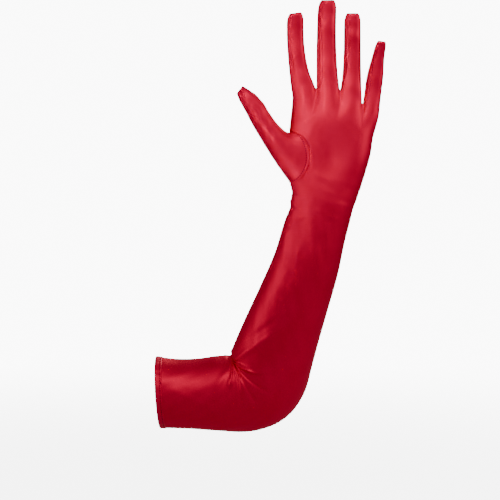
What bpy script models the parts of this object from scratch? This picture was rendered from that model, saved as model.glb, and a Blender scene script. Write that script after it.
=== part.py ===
"""A long satin dress glove for the left hand, in the shape it has on a bent arm with the hand open.

The origin is the centre of the arm opening. The upper arm runs along +X, the elbow turns up and the
hand stands along +Z with its palm to -Y and its thumb to -X. The satin body is one skin whose outline
comes from the tables below. It is cut along its seams into pieces, and each piece is a thin wall.
"""

import math

import bmesh
import bpy
import numpy as np
from mathutils import Vector
from mathutils.bvhtree import BVHTree

# Cloth, in metres
WALL = 0.001
SEAM_GAP = 0.0003
HEM_WIDTH = 0.0065
HEM_THICKNESS = 0.0024
HEM_STEP = 0.0005
HEM_SLANT = 0.066

# Arm: hem to crook, the turn of the elbow in degrees, and elbow to wrist
UPPER_ARM_LENGTH = 0.070
ELBOW_RADIUS = 0.042
ELBOW_TURN = 73.0
ARM_LEAN = 15.6
FOREARM_LENGTH = 0.171
WRIST_EASE = 0.0068
WRIST_EASE_HEIGHT = 0.040
ARM_RADIUS = 0.036
WRIST_RADIUS = 0.029
WRIST_DEPTH = 0.021

# Hand: wrist to finger roots, across the palm, and palm to back
PALM_LENGTH = 0.104
PALM_WIDTH = 0.082
PALM_DEPTH = 0.030
HAND_TILT = 0.4
FINGER_LENGTH = 0.081
FINGER_WIDTH = 0.0195
FINGER_DEPTH = 0.0165
FINGER_CURL = 0.007
CROTCH_WIDTH = 0.0018
FOURCHETTE_ANGLE = 33.0
THUMB_LENGTH = 0.099
THUMB_WIDTH = 0.0180
THUMB_DEPTH = 0.0205
THUMB_ANGLE = 32.2
THUMB_FORWARD = 7.0
THUMB_HOLE_FOOT = 0.0150
THUMB_HOLE_HEIGHT = 0.0475
THUMB_HOLE_REACH = 0.0185

# How finely the surfaces are divided
FINGER_COLUMNS = 5
FOURCHETTE_COLUMNS = 3
UPPER_ARM_ROWS = 6
ELBOW_ROWS = 11
FOREARM_ROWS = 14
PALM_ROWS = 8
THUMB_COLUMNS = 10
FINGER_ROW_SHARES = (0.0, 0.10, 0.24, 0.40, 0.56, 0.72, 0.84, 0.91, 0.955, 0.985, 1.0)
THUMB_ROW_SHARES = (0.0, 0.09, 0.18, 0.28, 0.38, 0.48, 0.59, 0.70, 0.80, 0.88, 0.93, 0.965, 0.99, 1.0)
HEM_COLUMNS = 48
HEM_PROFILE_POINTS = 12
FOURCHETTE_END = 0.91

# Sleeve sections. station: 0 hem, 1 crook, 2 end of the bend, 3 wrist. towards_crook, towards_elbow
# and across are distances from the centre line as shares of ARM_RADIUS.
SLEEVE_SECTIONS = np.array([
    # station, towards_crook, towards_elbow, across
    (0.00, 0.925, 1.000, 0.985),
    (0.30, 0.845, 1.020, 0.990),
    (0.60, 0.870, 1.050, 1.000),
    (0.85, 0.945, 1.090, 1.020),
    (1.00, 0.950, 1.110, 1.040),
    (1.25, 1.000, 1.200, 1.060),
    (1.55, 1.080, 1.270, 1.060),
    (1.80, 1.115, 1.200, 1.050),
    (2.00, 1.105, 1.120, 1.040),
    (2.18, 1.030, 1.060, 1.010),
    (2.40, 0.905, 1.010, 0.950),
])

# The last stretch to the wrist. crook_side and elbow_side are shares of WRIST_RADIUS, across of WRIST_DEPTH.
WRIST_SECTIONS = np.array([
    # station, crook_side, elbow_side, across
    (2.62, 1.000, 1.190, 1.430),
    (2.82, 1.010, 1.060, 1.180),
    (2.92, 0.990, 1.020, 1.070),
    (3.00, 1.130, 0.985, 1.000),
])

# Folds of the sleeve. Stations as above, angles in degrees from the crook side (negative is the palm
# side), width and height of the ridge as shares of ARM_RADIUS; a negative height is a valley.
SLEEVE_FOLDS = np.array([
    # station_0, angle_0, station_1, angle_1, width, height
    (1.50, -4.0, 1.50, -62.0, 0.075, -0.075),
    (1.30, -11.0, 1.02, -58.0, 0.100, 0.055),
    (1.70, -11.0, 1.98, -66.0, 0.100, 0.060),
    (1.84, -20.0, 2.26, -78.0, 0.085, 0.035),
    (1.12, -16.0, 0.80, -66.0, 0.090, 0.028),
    (1.50, 4.0, 1.52, 58.0, 0.075, -0.075),
    (1.30, 11.0, 1.06, 62.0, 0.100, 0.055),
    (1.70, 11.0, 2.02, 60.0, 0.100, 0.060),
    (2.930, -48.0, 2.930, 52.0, 0.060, 0.035),
    (2.985, -52.0, 2.980, 46.0, 0.050, -0.030),
])

# Palm outline. height is a share of PALM_LENGTH, the two edges of PALM_WIDTH, depth of PALM_DEPTH.
PALM_SECTIONS = np.array([
    # height, thumb_edge, little_edge, depth
    (0.00, -0.400, 0.355, 0.69),
    (0.12, -0.425, 0.405, 0.62),
    (0.25, -0.405, 0.455, 0.57),
    (0.40, -0.408, 0.515, 0.53),
    (0.58, -0.408, 0.552, 0.50),
    (0.72, -0.386, 0.577, 0.46),
    (0.84, -0.372, 0.597, 0.41),
    (1.00, -0.370, 0.605, 0.35),
])

# Finger roots, from the index finger's outer side to the little finger's. across is a share of
# PALM_WIDTH and height of PALM_LENGTH.
FINGER_ROOTS = np.array([
    # across, height
    (-0.372, 0.923),
    (-0.106, 0.997),
    (0.170, 0.984),
    (0.428, 0.862),
    (0.620, 0.782),
])

# Fingers. lean, length and bow are shares of FINGER_LENGTH, the widths of FINGER_WIDTH, depth of
# FINGER_DEPTH, and curl of FINGER_CURL.
FINGER_NAMES = ("index", "middle", "ring", "little")
FINGERS = np.array([
    # lean, length, bow, mid_width, tip_width, depth, curl
    (-0.108, 0.902, -0.035, 0.860, 0.810, 0.97, 1.10),
    (-0.017, 1.020, -0.014, 0.955, 0.885, 1.00, 0.80),
    (0.000, 0.955, 0.007, 0.845, 0.785, 0.96, 0.90),
    (0.103, 0.760, -0.010, 0.800, 0.530, 0.80, 1.20),
])

# Thumb, from the oval it is sewn into to its tip. outer and inner are how far its outer and inner edges
# have come along it, as shares of THUMB_LENGTH; the offs are how far they lie from the straight outer
# line, as shares of THUMB_WIDTH; depth is a share of THUMB_DEPTH.
THUMB_SECTIONS = np.array([
    # share, outer, outer_off, inner, inner_off, depth
    (0.00, 0.000, 0.00, 0.400, 1.37, 1.50),
    (0.15, 0.180, -0.085, 0.406, 1.290, 1.31),
    (0.30, 0.345, -0.105, 0.446, 1.175, 1.21),
    (0.45, 0.495, -0.105, 0.535, 1.045, 1.08),
    (0.60, 0.640, -0.095, 0.645, 0.985, 1.00),
    (0.75, 0.785, -0.045, 0.765, 0.975, 0.93),
    (0.88, 0.900, -0.015, 0.885, 0.835, 0.82),
    (1.00, 0.976, 0.040, 1.008, 0.510, 0.70),
])

SATIN_RED = (0.62, 0.010, 0.030, 1.0)


def smooth(share):
    """A soft step from 0 to 1."""
    share = np.clip(share, 0.0, 1.0)
    return share * share * (3.0 - 2.0 * share)


def along_table(table, column, value):
    """A table's column at any value of its first column, on a smooth curve through the rows."""
    x, y = table[:, 0], table[:, column]
    slope = np.gradient(y, x)
    value = np.clip(value, x[0], x[-1])
    row = np.clip(np.searchsorted(x, value, side="right") - 1, 0, len(x) - 2)
    step = x[row + 1] - x[row]
    t = (value - x[row]) / step
    start = (1 + 2 * t) * (1 - t) ** 2 * y[row] + t * (1 - t) ** 2 * step * slope[row]
    end = t * t * (3 - 2 * t) * y[row + 1] + t * t * (t - 1) * step * slope[row + 1]
    return start + end


def sleeve_table():
    """The sleeve's sections in metres: station, towards the crook, towards the elbow, across."""
    arm = SLEEVE_SECTIONS * (1.0, ARM_RADIUS, ARM_RADIUS, ARM_RADIUS)
    wrist = WRIST_SECTIONS * (1.0, WRIST_RADIUS, WRIST_RADIUS, WRIST_DEPTH)
    return np.vstack((arm, wrist))


SLEEVE = sleeve_table()
TURN = math.radians(ELBOW_TURN)
LEG_LENGTHS = (UPPER_ARM_LENGTH, ELBOW_RADIUS * TURN, FOREARM_LENGTH)


def distance_of(station):
    """Distance along the centre line from the hem to a station."""
    return np.interp(station, (0, 1, 2, 3), np.cumsum((0.0,) + LEG_LENGTHS))


def arm_axes(station):
    """Centre, the direction towards the crook side, and the direction of the back of the hand."""
    lean = math.radians(ARM_LEAN)
    forward = np.array((1.0, 0.0, 0.0))
    upward = np.array((0.0, -math.sin(lean), math.cos(lean)))
    backward = np.array((0.0, math.cos(lean), math.sin(lean)))
    turned = np.clip(station - 1.0, 0.0, 1.0)[..., None] * TURN
    crookward = -np.sin(turned) * forward + np.cos(turned) * upward
    ahead = np.cos(turned) * forward + np.sin(turned) * upward
    hinge = UPPER_ARM_LENGTH * forward + ELBOW_RADIUS * upward
    before = np.clip(station - 1.0, -1.0, 0.0)[..., None] * UPPER_ARM_LENGTH * forward
    along = np.clip(station - 2.0, 0.0, 1.0)[..., None]
    after = along * FOREARM_LENGTH * ahead + along**3 * WRIST_EASE * np.array((0.0, 1.0, 0.0))
    centre = hinge - ELBOW_RADIUS * crookward + before + after
    return centre, crookward, np.broadcast_to(backward, centre.shape)


def fold_height(station, angle):
    """Height of the folds at each point of the sleeve: a bell across each fold's line, fading at its ends."""
    along, around = distance_of(station), angle * ARM_RADIUS
    height = np.zeros(np.broadcast(station, angle).shape)
    for station_0, angle_0, station_1, angle_1, width, rise in SLEEVE_FOLDS:
        start = np.array((distance_of(station_0), math.radians(angle_0) * ARM_RADIUS))
        line = np.array((distance_of(station_1), math.radians(angle_1) * ARM_RADIUS)) - start
        share = ((along - start[0]) * line[0] + (around - start[1]) * line[1]) / (line @ line)
        off = ((along - start[0]) * line[1] - (around - start[1]) * line[0]) / math.hypot(*line)
        fade = smooth(np.minimum(share + 0.12, 1.12 - share) / 0.35)
        height += rise * ARM_RADIUS * fade * np.exp(-((off / (width * ARM_RADIUS)) ** 2))
    return height


def sleeve_points(station, angle, rise=0.0):
    """Points of the sleeve. angle is 0 on the crook side, negative over the palm side; rise is outwards."""
    centre, crookward, backward = arm_axes(station)
    towards_crook = along_table(SLEEVE, 1, station)
    towards_elbow = along_table(SLEEVE, 2, station)
    across = along_table(SLEEVE, 3, station)
    lift = fold_height(station, angle) + rise
    reach = np.where(np.cos(angle) > 0, towards_crook, towards_elbow) + lift
    out = (reach * np.cos(angle))[..., None] * crookward + ((across + lift) * np.sin(angle))[..., None] * backward
    slant = -HEM_SLANT * out[..., 2] * np.clip(1.0 - station, 0.0, 1.0)
    return centre + out + slant[..., None] * np.array((1.0, 0.0, 0.0))


def hand_axes():
    """The wrist's centre and the hand's directions: across to the little finger, up, and to the back."""
    wrist = arm_axes(np.array(3.0))[0]
    tilt = math.radians(HAND_TILT)
    across = np.array((math.cos(tilt), 0.0, -math.sin(tilt)))
    upward = np.array((math.sin(tilt), 0.0, math.cos(tilt)))
    return wrist, across, upward, np.array((0.0, 1.0, 0.0))


WRIST, ACROSS, UPWARD, BACKWARD = hand_axes()


def in_hand(across, height, depth):
    """World points of hand coordinates."""
    parts = np.broadcast_arrays(across, height, depth)
    return WRIST + sum(part[..., None] * axis for part, axis in zip(parts, (ACROSS, UPWARD, BACKWARD)))


def hand_coordinates(points):
    """Hand coordinates of world points: across, height, depth."""
    return [(points - WRIST) @ axis for axis in (ACROSS, UPWARD, BACKWARD)]


def finger_root(finger):
    """Centre and half span of a finger's root, each as (across, height)."""
    scale = np.array((PALM_WIDTH, PALM_LENGTH))
    first, second = FINGER_ROOTS[finger] * scale, FINGER_ROOTS[finger + 1] * scale
    first[0] += CROTCH_WIDTH / 2 if finger > 0 else 0.0
    second[0] -= CROTCH_WIDTH / 2 if finger < len(FINGERS) - 1 else 0.0
    return (first + second) / 2, (second - first) / 2


def finger_widths(finger, share):
    """Half width and half depth of a finger at shares of its length, closing to a sewn line at the tip."""
    _, _, _, mid_width, tip_width, depth, _ = FINGERS[finger]
    root_width = 2 * finger_root(finger)[1][0] / FINGER_WIDTH
    profile = np.array(((0.0, root_width), (0.45, mid_width), (0.9, tip_width), (1.0, tip_width)))
    width = along_table(profile, 1, share) * FINGER_WIDTH / 2
    round_off = np.clip((share - 0.86) / 0.14, 0.0, 1.0)
    width = width * (1.0 - 0.34 * round_off**3)
    depth = depth * FINGER_DEPTH / 2 * (1.06 - 0.22 * share)
    return width, depth * np.sqrt(1.0 - np.clip((share - 0.86) / 0.14, 0.0, 1.0) ** 2)


def seam_angle(share):
    """Half the angle that a fourchette takes of a finger's side, narrowing to nothing near the tip."""
    open_share = np.clip(share / FOURCHETTE_END, 0.0, 1.0)
    return math.radians(FOURCHETTE_ANGLE) * (1.0 - open_share**3) + np.where(
        share < FOURCHETTE_END + 1e-6, math.radians(7.0), 0.0
    )


def finger_points(finger, share, angle):
    """Points of a finger. angle is 0 on the little finger's side, -90 degrees on the palm side."""
    lean, length, bow, _, _, _, curl = FINGERS[finger]
    root, half = finger_root(finger)
    width, depth = finger_widths(finger, share)
    run = FINGER_LENGTH * np.array((lean, length))
    side = np.array((run[1], -run[0])) / math.hypot(*run)
    bend = bow * FINGER_LENGTH * 4 * share * (1 - share)
    offset = width * np.cos(angle) + bend
    across = root[0] + run[0] * share + side[0] * offset
    height = root[1] + run[1] * share + side[1] * offset
    back = depth * np.sin(angle) - curl * FINGER_CURL * share**2
    # At the root the section squares up, so that neighbours share the crotch between them.
    flat = np.clip(np.cos(angle) / math.cos(seam_angle(np.array(0.0))), -1.0, 1.0)
    outer = (finger == 0) & (flat < 0) | (finger == len(FINGERS) - 1) & (flat > 0)
    flat = np.where(outer, np.cos(angle), flat)
    settle = 1.0 - smooth(share / 0.35)
    root_offset = finger_widths(finger, np.array(0.0))[0] * np.cos(angle)
    across = across + settle * (half[0] * flat - side[0] * root_offset)
    height = height + settle * (half[1] * flat - side[1] * root_offset)
    return in_hand(across, height, back)


def side_seams(finger, share):
    """Angles of the seams at a finger's thumb side and little-finger side, on the palm half."""
    thumb_side = np.zeros_like(share) if finger == 0 else seam_angle(share)
    little_side = np.zeros_like(share) if finger == len(FINGERS) - 1 else seam_angle(share)
    return -math.pi + thumb_side, -little_side


def finger_face(finger, back):
    """Grid over a finger's palm face or back face, root to tip by thumb side to little-finger side."""
    share = np.array(FINGER_ROW_SHARES)[:, None]
    first, last = side_seams(finger, share)
    angle = first + (last - first) * np.linspace(0, 1, FINGER_COLUMNS + 1)
    return finger_points(finger, share, -angle if back else angle)


def fourchette(finger):
    """Grid of the strip between a finger and the next: down one side, through the crotch, up the other."""
    share = np.array(FINGER_ROW_SHARES)
    share = share[share < FOURCHETTE_END + 1e-6][:, None]
    across = np.linspace(-1, 1, FOURCHETTE_COLUMNS + 1)
    down = finger_points(finger, share, across * seam_angle(share))
    up = finger_points(finger + 1, share, math.pi - across * seam_angle(share))
    return np.vstack((down[::-1], up))


def palm_face(back):
    """Grid over the palm or the back of the hand, wrist to finger roots by thumb side to little side."""
    root = np.vstack([finger_face(finger, back)[0] for finger in range(len(FINGERS))])
    around = -math.pi * np.linspace(0, 1, len(root))
    wrist = sleeve_points(np.full(len(root), 3.0), -around if back else around)
    root_across, root_height, _ = hand_coordinates(root)
    share = np.linspace(0, 1, PALM_ROWS + 1)[:, None]

    def plain(share):
        height = share * root_height
        level = height / PALM_LENGTH
        thumb_edge = along_table(PALM_SECTIONS, 1, level) * PALM_WIDTH
        little_edge = along_table(PALM_SECTIONS, 2, level) * PALM_WIDTH
        depth = along_table(PALM_SECTIONS, 3, level) * PALM_DEPTH
        root_level = root_height / PALM_LENGTH
        root_thumb = along_table(PALM_SECTIONS, 1, root_level) * PALM_WIDTH
        root_little = along_table(PALM_SECTIONS, 2, root_level) * PALM_WIDTH
        root_place = np.clip((2 * root_across - root_thumb - root_little) / (root_little - root_thumb), -1, 1)
        place = (1 - share) * -np.cos(around) + share * root_place
        place[:, 0], place[:, -1] = -1.0, 1.0
        across = ((1 - place) * thumb_edge + (1 + place) * little_edge) / 2
        bulge = (1 - np.abs(place) ** 2.4) ** (1 / 2.2)
        ease = height * np.clip(1 - height / WRIST_EASE_HEIGHT, 0.0, 1.0) ** 2
        lean = 3 * WRIST_EASE / FOREARM_LENGTH - math.tan(math.radians(ARM_LEAN))
        return in_hand(across, height, (depth if back else -depth) * bulge + lean * ease)

    to_root = smooth((share - 0.66) / 0.34)[..., None]
    from_wrist = 1 - smooth(share / 0.42)[..., None]
    at_ends = plain(np.array((0.0, 1.0))[:, None])
    return plain(share) + to_root * (root - at_ends[1]) + from_wrist * (wrist - at_ends[0])


def sleeve_face(back):
    """Grid over the palm side or back side of the sleeve, hem to wrist."""
    around = -math.pi * np.linspace(0, 1, (FINGER_COLUMNS + 1) * len(FINGERS))
    first = (HEM_WIDTH + SEAM_GAP) / UPPER_ARM_LENGTH
    station = np.concatenate((
        np.linspace(first, 1, UPPER_ARM_ROWS + 1)[:-1],
        np.linspace(1, 2, ELBOW_ROWS + 1)[:-1],
        np.linspace(2, 3, FOREARM_ROWS + 1),
    ))
    return sleeve_points(station[:, None], (-around if back else around)[None, :])


def skin_patches():
    """Every patch of the body's skin as (piece name, grid of points)."""
    patches = []
    for piece, back in (("palm_side", False), ("back_side", True)):
        patches.append((piece, sleeve_face(back)))
        patches.append((piece, palm_face(back)))
        patches += [(piece, finger_face(finger, back)) for finger in range(len(FINGERS))]
    for finger in range(len(FINGERS) - 1):
        name = f"fourchette_{FINGER_NAMES[finger]}_{FINGER_NAMES[finger + 1]}"
        patches.append((name, fourchette(finger)))
    return patches


def face_outwards(mesh):
    """Turn every face outwards, also where the mesh is open: then its faces enclose a positive volume."""
    bmesh.ops.recalc_face_normals(mesh, faces=mesh.faces)
    middle = sum((vert.co for vert in mesh.verts), Vector()) / len(mesh.verts)
    enclosed = sum(face.calc_area() * face.normal.dot(face.calc_center_median() - middle) for face in mesh.faces)
    if enclosed < 0:
        bmesh.ops.reverse_faces(mesh, faces=mesh.faces)
    mesh.normal_update()


def skin_mesh(patches):
    """One welded bmesh of all patches, with a face layer that holds each face's piece number."""
    names = sorted({name for name, _ in patches})
    mesh = bmesh.new()
    piece = mesh.faces.layers.int.new("piece")
    for name, grid in patches:
        rows, columns = grid.shape[:2]
        verts = [[mesh.verts.new(point) for point in row] for row in grid]
        for i in range(rows - 1):
            for j in range(columns - 1):
                face = mesh.faces.new((verts[i][j], verts[i][j + 1], verts[i + 1][j + 1], verts[i + 1][j]))
                face[piece] = names.index(name)
    bmesh.ops.remove_doubles(mesh, verts=mesh.verts, dist=2e-5)
    face_outwards(mesh)
    return mesh, piece, names


def inward_mitre(vert, faces):
    """The step, along the cloth, that moves a piece's edge vertex one unit away from both its edges."""
    steps = []
    for edge in vert.link_edges:
        mine = [face for face in edge.link_faces if face in faces]
        if len(mine) != 1:
            continue
        along = (edge.verts[1].co - edge.verts[0].co).normalized()
        inside = mine[0].calc_center_median() - (edge.verts[0].co + edge.verts[1].co) / 2
        steps.append((inside - inside.dot(along) * along).normalized())
    if len(steps) != 2:
        return Vector()
    mitre = (steps[0] + steps[1]) / max(1.0 + steps[0].dot(steps[1]), 0.25)
    return mitre


def cloth_solid(faces):
    """Points and faces of a closed wall over these faces of the skin, its edges half a gap from the seams."""
    faces = dict.fromkeys(faces)
    verts = sorted({vert for face in faces for vert in face.verts}, key=lambda vert: vert.index)
    number = {vert: n for n, vert in enumerate(verts)}
    mitres = [inward_mitre(vert, faces) for vert in verts]
    outer = [vert.co + mitre * SEAM_GAP / 2 for vert, mitre in zip(verts, mitres)]
    inner = [vert.co + mitre * SEAM_GAP - vert.normal * WALL for vert, mitre in zip(verts, mitres)]
    count = len(verts)
    solid = []
    for face in faces:
        loop = [number[vert] for vert in face.verts]
        solid.append(loop)
        solid.append([n + count for n in reversed(loop)])
        for a, b in zip(face.verts, face.verts[1:] + face.verts[:1]):
            shared = [other for other in a.link_faces if b in other.verts and other in faces]
            if len(shared) == 1:
                solid.append([number[b], number[a], number[a] + count, number[b] + count])
    return outer + inner, solid


def material(name, colour, roughness):
    """A plain finish."""
    made = bpy.data.materials.new(name)
    made.use_nodes = True
    shader = made.node_tree.nodes["Principled BSDF"]
    shader.inputs["Base Color"].default_value = colour
    shader.inputs["Roughness"].default_value = roughness
    return made


def add_object(name, points, faces, finish):
    """A named, smoothly shaded object."""
    mesh = bpy.data.meshes.new(name)
    mesh.from_pydata([tuple(point) for point in points], [], faces)
    mesh.materials.append(finish)
    mesh.shade_smooth()
    mesh.set_sharp_from_angle(angle=math.radians(50))
    made = bpy.data.objects.new(name, mesh)
    bpy.context.scene.collection.objects.link(made)
    return made


def thumb_edge(tree, height):
    """The skin's thumb edge at a height in the hand, as hand coordinate across."""
    hit = tree.ray_cast(Vector(in_hand(0.0, height, 0.0)), Vector(-ACROSS))[0]
    return hand_coordinates(np.array(hit))[0]


def thumb_hole(tree, grow):
    """Outline of the oval that the thumb is sewn into, foot to web: hand coordinates across and height."""
    angle = np.linspace(-math.pi / 2, math.pi / 2, THUMB_COLUMNS)
    half = THUMB_HOLE_HEIGHT / 2
    height = THUMB_HOLE_FOOT + half + (half + grow) * np.sin(angle)
    edge = np.array([thumb_edge(tree, h) for h in height])
    return edge + (THUMB_HOLE_REACH + grow) * np.cos(angle), height


def thumb_base(tree):
    """The loop where the thumb meets the skin: up the palm side of the oval, then down its back side."""
    across, height = thumb_hole(tree, -2 * SEAM_GAP)
    sides = []
    for side in (-1, 1):
        points = []
        for a, h in zip(across, height):
            at_end = len(points) in (0, len(across) - 1)
            inside = in_hand(a + THUMB_HOLE_REACH, h, 0.0)
            start = inside if at_end else in_hand(a, h, side * PALM_DEPTH)
            ray = -ACROSS if at_end else -side * BACKWARD
            points.append(np.array(tree.ray_cast(Vector(start), Vector(ray))[0]))
        sides.append(points)
    palm, back = sides
    return np.array(palm + back[-2:0:-1])


def base_edge_direction(place):
    """Which way the thumb's sewn edge faces at a place in its loop, square to the cut of the hole."""
    web = THUMB_COLUMNS - 1
    if place in (0, web):
        return -0.8 * ACROSS + (0.4 if place else -0.4) * UPWARD
    return -BACKWARD if place < web else BACKWARD


def thumb_grid(base, tree):
    """Grid of the thumb from its base loop to the sewn line at its tip, each row a closed ring."""
    share = np.array(THUMB_ROW_SHARES)[:, None]
    around = np.linspace(-math.pi / 2, 3 * math.pi / 2, len(base) + 1)[:-1]
    lean = math.radians(THUMB_ANGLE)
    foot = np.array((thumb_edge(tree, THUMB_HOLE_FOOT), THUMB_HOLE_FOOT))
    axis = np.array((-math.sin(lean), math.cos(lean)))
    side = np.array((math.cos(lean), math.sin(lean)))
    outer, outer_off, inner, inner_off = (
        along_table(THUMB_SECTIONS, column, share) * scale
        for column, scale in ((1, THUMB_LENGTH), (2, THUMB_WIDTH), (3, THUMB_LENGTH), (4, THUMB_WIDTH))
    )
    close = np.clip((share - 0.84) / 0.16, 0.0, 1.0)
    depth = along_table(THUMB_SECTIONS, 5, share) * THUMB_DEPTH / 2 * np.sqrt(1 - close**2)
    mix = (1 + np.sin(around)) / 2
    run = outer + (inner - outer) * mix
    off = outer_off + (inner_off - outer_off) * mix
    across = foot[0] + run * axis[0] + off * side[0]
    height = foot[1] + run * axis[1] + off * side[1]
    tube = in_hand(across, height, -depth * np.cos(around) - outer * math.sin(math.radians(THUMB_FORWARD)))
    away = 1 - np.clip(1 - share / 0.32, 0.0, 1.0)[..., None] ** 2
    rings = (1 - away) * base + away * tube
    return np.concatenate((rings, rings[:, :1]), axis=1)


def hem_band(finish):
    """The doubled and turned edge at the arm opening, a closed ring."""
    angle = 2 * math.pi * np.arange(HEM_COLUMNS)[:, None] / HEM_COLUMNS
    turn = 2 * math.pi * np.arange(HEM_PROFILE_POINTS) / HEM_PROFILE_POINTS
    along = np.sign(np.cos(turn)) * np.abs(np.cos(turn)) ** 0.45
    out = np.sign(np.sin(turn)) * np.abs(np.sin(turn)) ** 0.6
    station = (1 + along) / 2 * HEM_WIDTH / UPPER_ARM_LENGTH + 0 * angle
    rise = HEM_STEP - HEM_THICKNESS / 2 + out * HEM_THICKNESS / 2
    points = sleeve_points(station, angle, rise).reshape(-1, 3)
    faces = []
    for i in range(HEM_COLUMNS):
        for j in range(HEM_PROFILE_POINTS):
            after = (i + 1) % HEM_COLUMNS
            beside = (j + 1) % HEM_PROFILE_POINTS
            corners = ((i, j), (after, j), (after, beside), (i, beside))
            faces.append([a * HEM_PROFILE_POINTS + b for a, b in corners])
    return add_object("hem_band", points, faces, finish)


def cut_thumb_hole(panels, tree):
    """Cut the thumb's oval out of the hand's thumb edge."""
    across, height = thumb_hole(tree, 0.0)
    outline = [(a, h) for a, h in zip(across, height)]
    outline += [(-PALM_WIDTH, height[-1]), (-PALM_WIDTH, height[0])]
    a, h = np.array(outline).T
    points = np.concatenate((in_hand(a, h, -PALM_DEPTH), in_hand(a, h, PALM_DEPTH)))
    count = len(outline)
    faces = [list(range(count)), list(range(2 * count - 1, count - 1, -1))]
    faces += [[n, n + count, (n + 1) % count + count, (n + 1) % count] for n in range(count)]
    cutter = add_object("thumb_hole_cutter", points, faces, material("cutter", SATIN_RED, 0.5))
    cutter.hide_render = True
    cutter.display_type = "WIRE"
    for panel in panels:
        cut = panel.modifiers.new("thumb_hole", "BOOLEAN")
        cut.operation = "DIFFERENCE"
        cut.solver = "EXACT"
        cut.object = cutter


def main():
    for old in list(bpy.data.objects):
        bpy.data.objects.remove(old)
    satin = material("satin", SATIN_RED, 0.36)
    hem_satin = material("hem_satin", SATIN_RED, 0.42)
    mesh, piece, names = skin_mesh(skin_patches())
    tree = BVHTree.FromBMesh(mesh)
    made = {}
    for n, name in enumerate(names):
        faces = [face for face in mesh.faces if face[piece] == n]
        made[name] = add_object(name, *cloth_solid(faces), satin)
    cut_thumb_hole((made["palm_side"], made["back_side"]), tree)
    base = thumb_base(tree)
    grid = thumb_grid(base, tree)
    halves = [("thumb_palm_side", grid[:, :THUMB_COLUMNS]), ("thumb_back_side", grid[:, THUMB_COLUMNS - 1:])]
    thumb, piece, names = skin_mesh(halves)
    for vert in thumb.verts:
        if vert.is_boundary:
            place = int(np.argmin(np.linalg.norm(base - np.array(vert.co), axis=1)))
            vert.normal = Vector(base_edge_direction(place))
    for n, name in enumerate(names):
        faces = [face for face in thumb.faces if face[piece] == n]
        add_object(name, *cloth_solid(faces), satin)
    hem_band(hem_satin)


main()
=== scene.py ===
import logging
import math
from dataclasses import dataclass, field
from enum import Enum, IntEnum
from typing import Any, Callable

import bmesh
import bpy
import numpy as np
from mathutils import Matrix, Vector
from mathutils.bvhtree import BVHTree


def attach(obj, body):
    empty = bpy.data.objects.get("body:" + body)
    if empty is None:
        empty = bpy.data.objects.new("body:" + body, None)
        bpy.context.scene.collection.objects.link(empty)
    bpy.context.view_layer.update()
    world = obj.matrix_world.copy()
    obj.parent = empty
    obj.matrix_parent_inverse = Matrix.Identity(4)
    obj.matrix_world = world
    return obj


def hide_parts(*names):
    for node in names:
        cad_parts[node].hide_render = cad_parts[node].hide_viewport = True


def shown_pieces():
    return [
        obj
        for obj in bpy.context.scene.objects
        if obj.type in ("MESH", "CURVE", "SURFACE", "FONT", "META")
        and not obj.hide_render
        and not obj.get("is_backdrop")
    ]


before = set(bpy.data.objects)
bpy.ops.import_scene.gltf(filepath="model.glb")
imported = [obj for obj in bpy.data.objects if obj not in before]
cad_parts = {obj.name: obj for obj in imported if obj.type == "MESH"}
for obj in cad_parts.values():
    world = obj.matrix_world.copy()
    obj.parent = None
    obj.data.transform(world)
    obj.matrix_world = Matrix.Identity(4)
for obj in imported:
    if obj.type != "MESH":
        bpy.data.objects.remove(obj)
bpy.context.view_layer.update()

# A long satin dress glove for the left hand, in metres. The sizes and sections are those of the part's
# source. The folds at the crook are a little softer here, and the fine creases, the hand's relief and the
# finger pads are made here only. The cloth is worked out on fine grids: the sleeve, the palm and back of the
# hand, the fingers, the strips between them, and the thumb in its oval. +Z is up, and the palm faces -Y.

LOG = logging.getLogger("glove")
BODY = "root"
Array = np.ndarray
Place = tuple[float, float, float]
Colour = tuple[float, float, float, float]

# The cloth coordinate along the glove at the wrist, where the hand takes over from the sleeve.
HAND_START = 0.3

# Sleeve: station (0 hem, 1 crook, 2 end of the bend, 3 wrist), then distances from the centre line towards
# the crook, towards the elbow and across, as shares of the arm's radius.
SLEEVE_SECTIONS = np.array([
    (0.00, 0.925, 1.000, 0.985),
    (0.30, 0.845, 1.020, 0.990),
    (0.60, 0.870, 1.050, 1.000),
    (0.85, 0.945, 1.090, 1.020),
    (1.00, 0.950, 1.110, 1.040),
    (1.25, 1.000, 1.200, 1.060),
    (1.55, 1.080, 1.270, 1.060),
    (1.80, 1.115, 1.200, 1.050),
    (2.00, 1.105, 1.120, 1.040),
    (2.18, 1.030, 1.060, 1.010),
    (2.40, 0.905, 1.010, 0.950),
])

# Station, crook side and elbow side as shares of the wrist's radius, across as a share of its depth.
WRIST_SECTIONS = np.array([
    (2.62, 1.000, 1.190, 1.430),
    (2.82, 1.010, 1.060, 1.180),
    (2.92, 0.990, 1.020, 1.070),
    (3.00, 1.130, 0.985, 1.000),
])

# Station and angle (degrees from the crook side, negative over the palm side) of a fold's two ends, then
# its width and height as shares of the arm's radius. A negative height is a valley.
SLEEVE_FOLDS = np.array([
    (1.50, -4.0, 1.50, -62.0, 0.075, -0.052),
    (1.30, -18.0, 1.02, -58.0, 0.100, 0.055),
    (1.70, -20.0, 1.98, -66.0, 0.100, 0.060),
    (1.84, -20.0, 2.26, -78.0, 0.085, 0.035),
    (1.12, -16.0, 0.80, -66.0, 0.090, 0.028),
    (1.50, 4.0, 1.52, 58.0, 0.075, -0.052),
    (1.30, 18.0, 1.06, 62.0, 0.100, 0.055),
    (1.70, 20.0, 2.02, 60.0, 0.100, 0.060),
    (2.930, -48.0, 2.930, 52.0, 0.060, 0.035),
    (2.985, -52.0, 2.980, 46.0, 0.050, -0.030),
])

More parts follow.
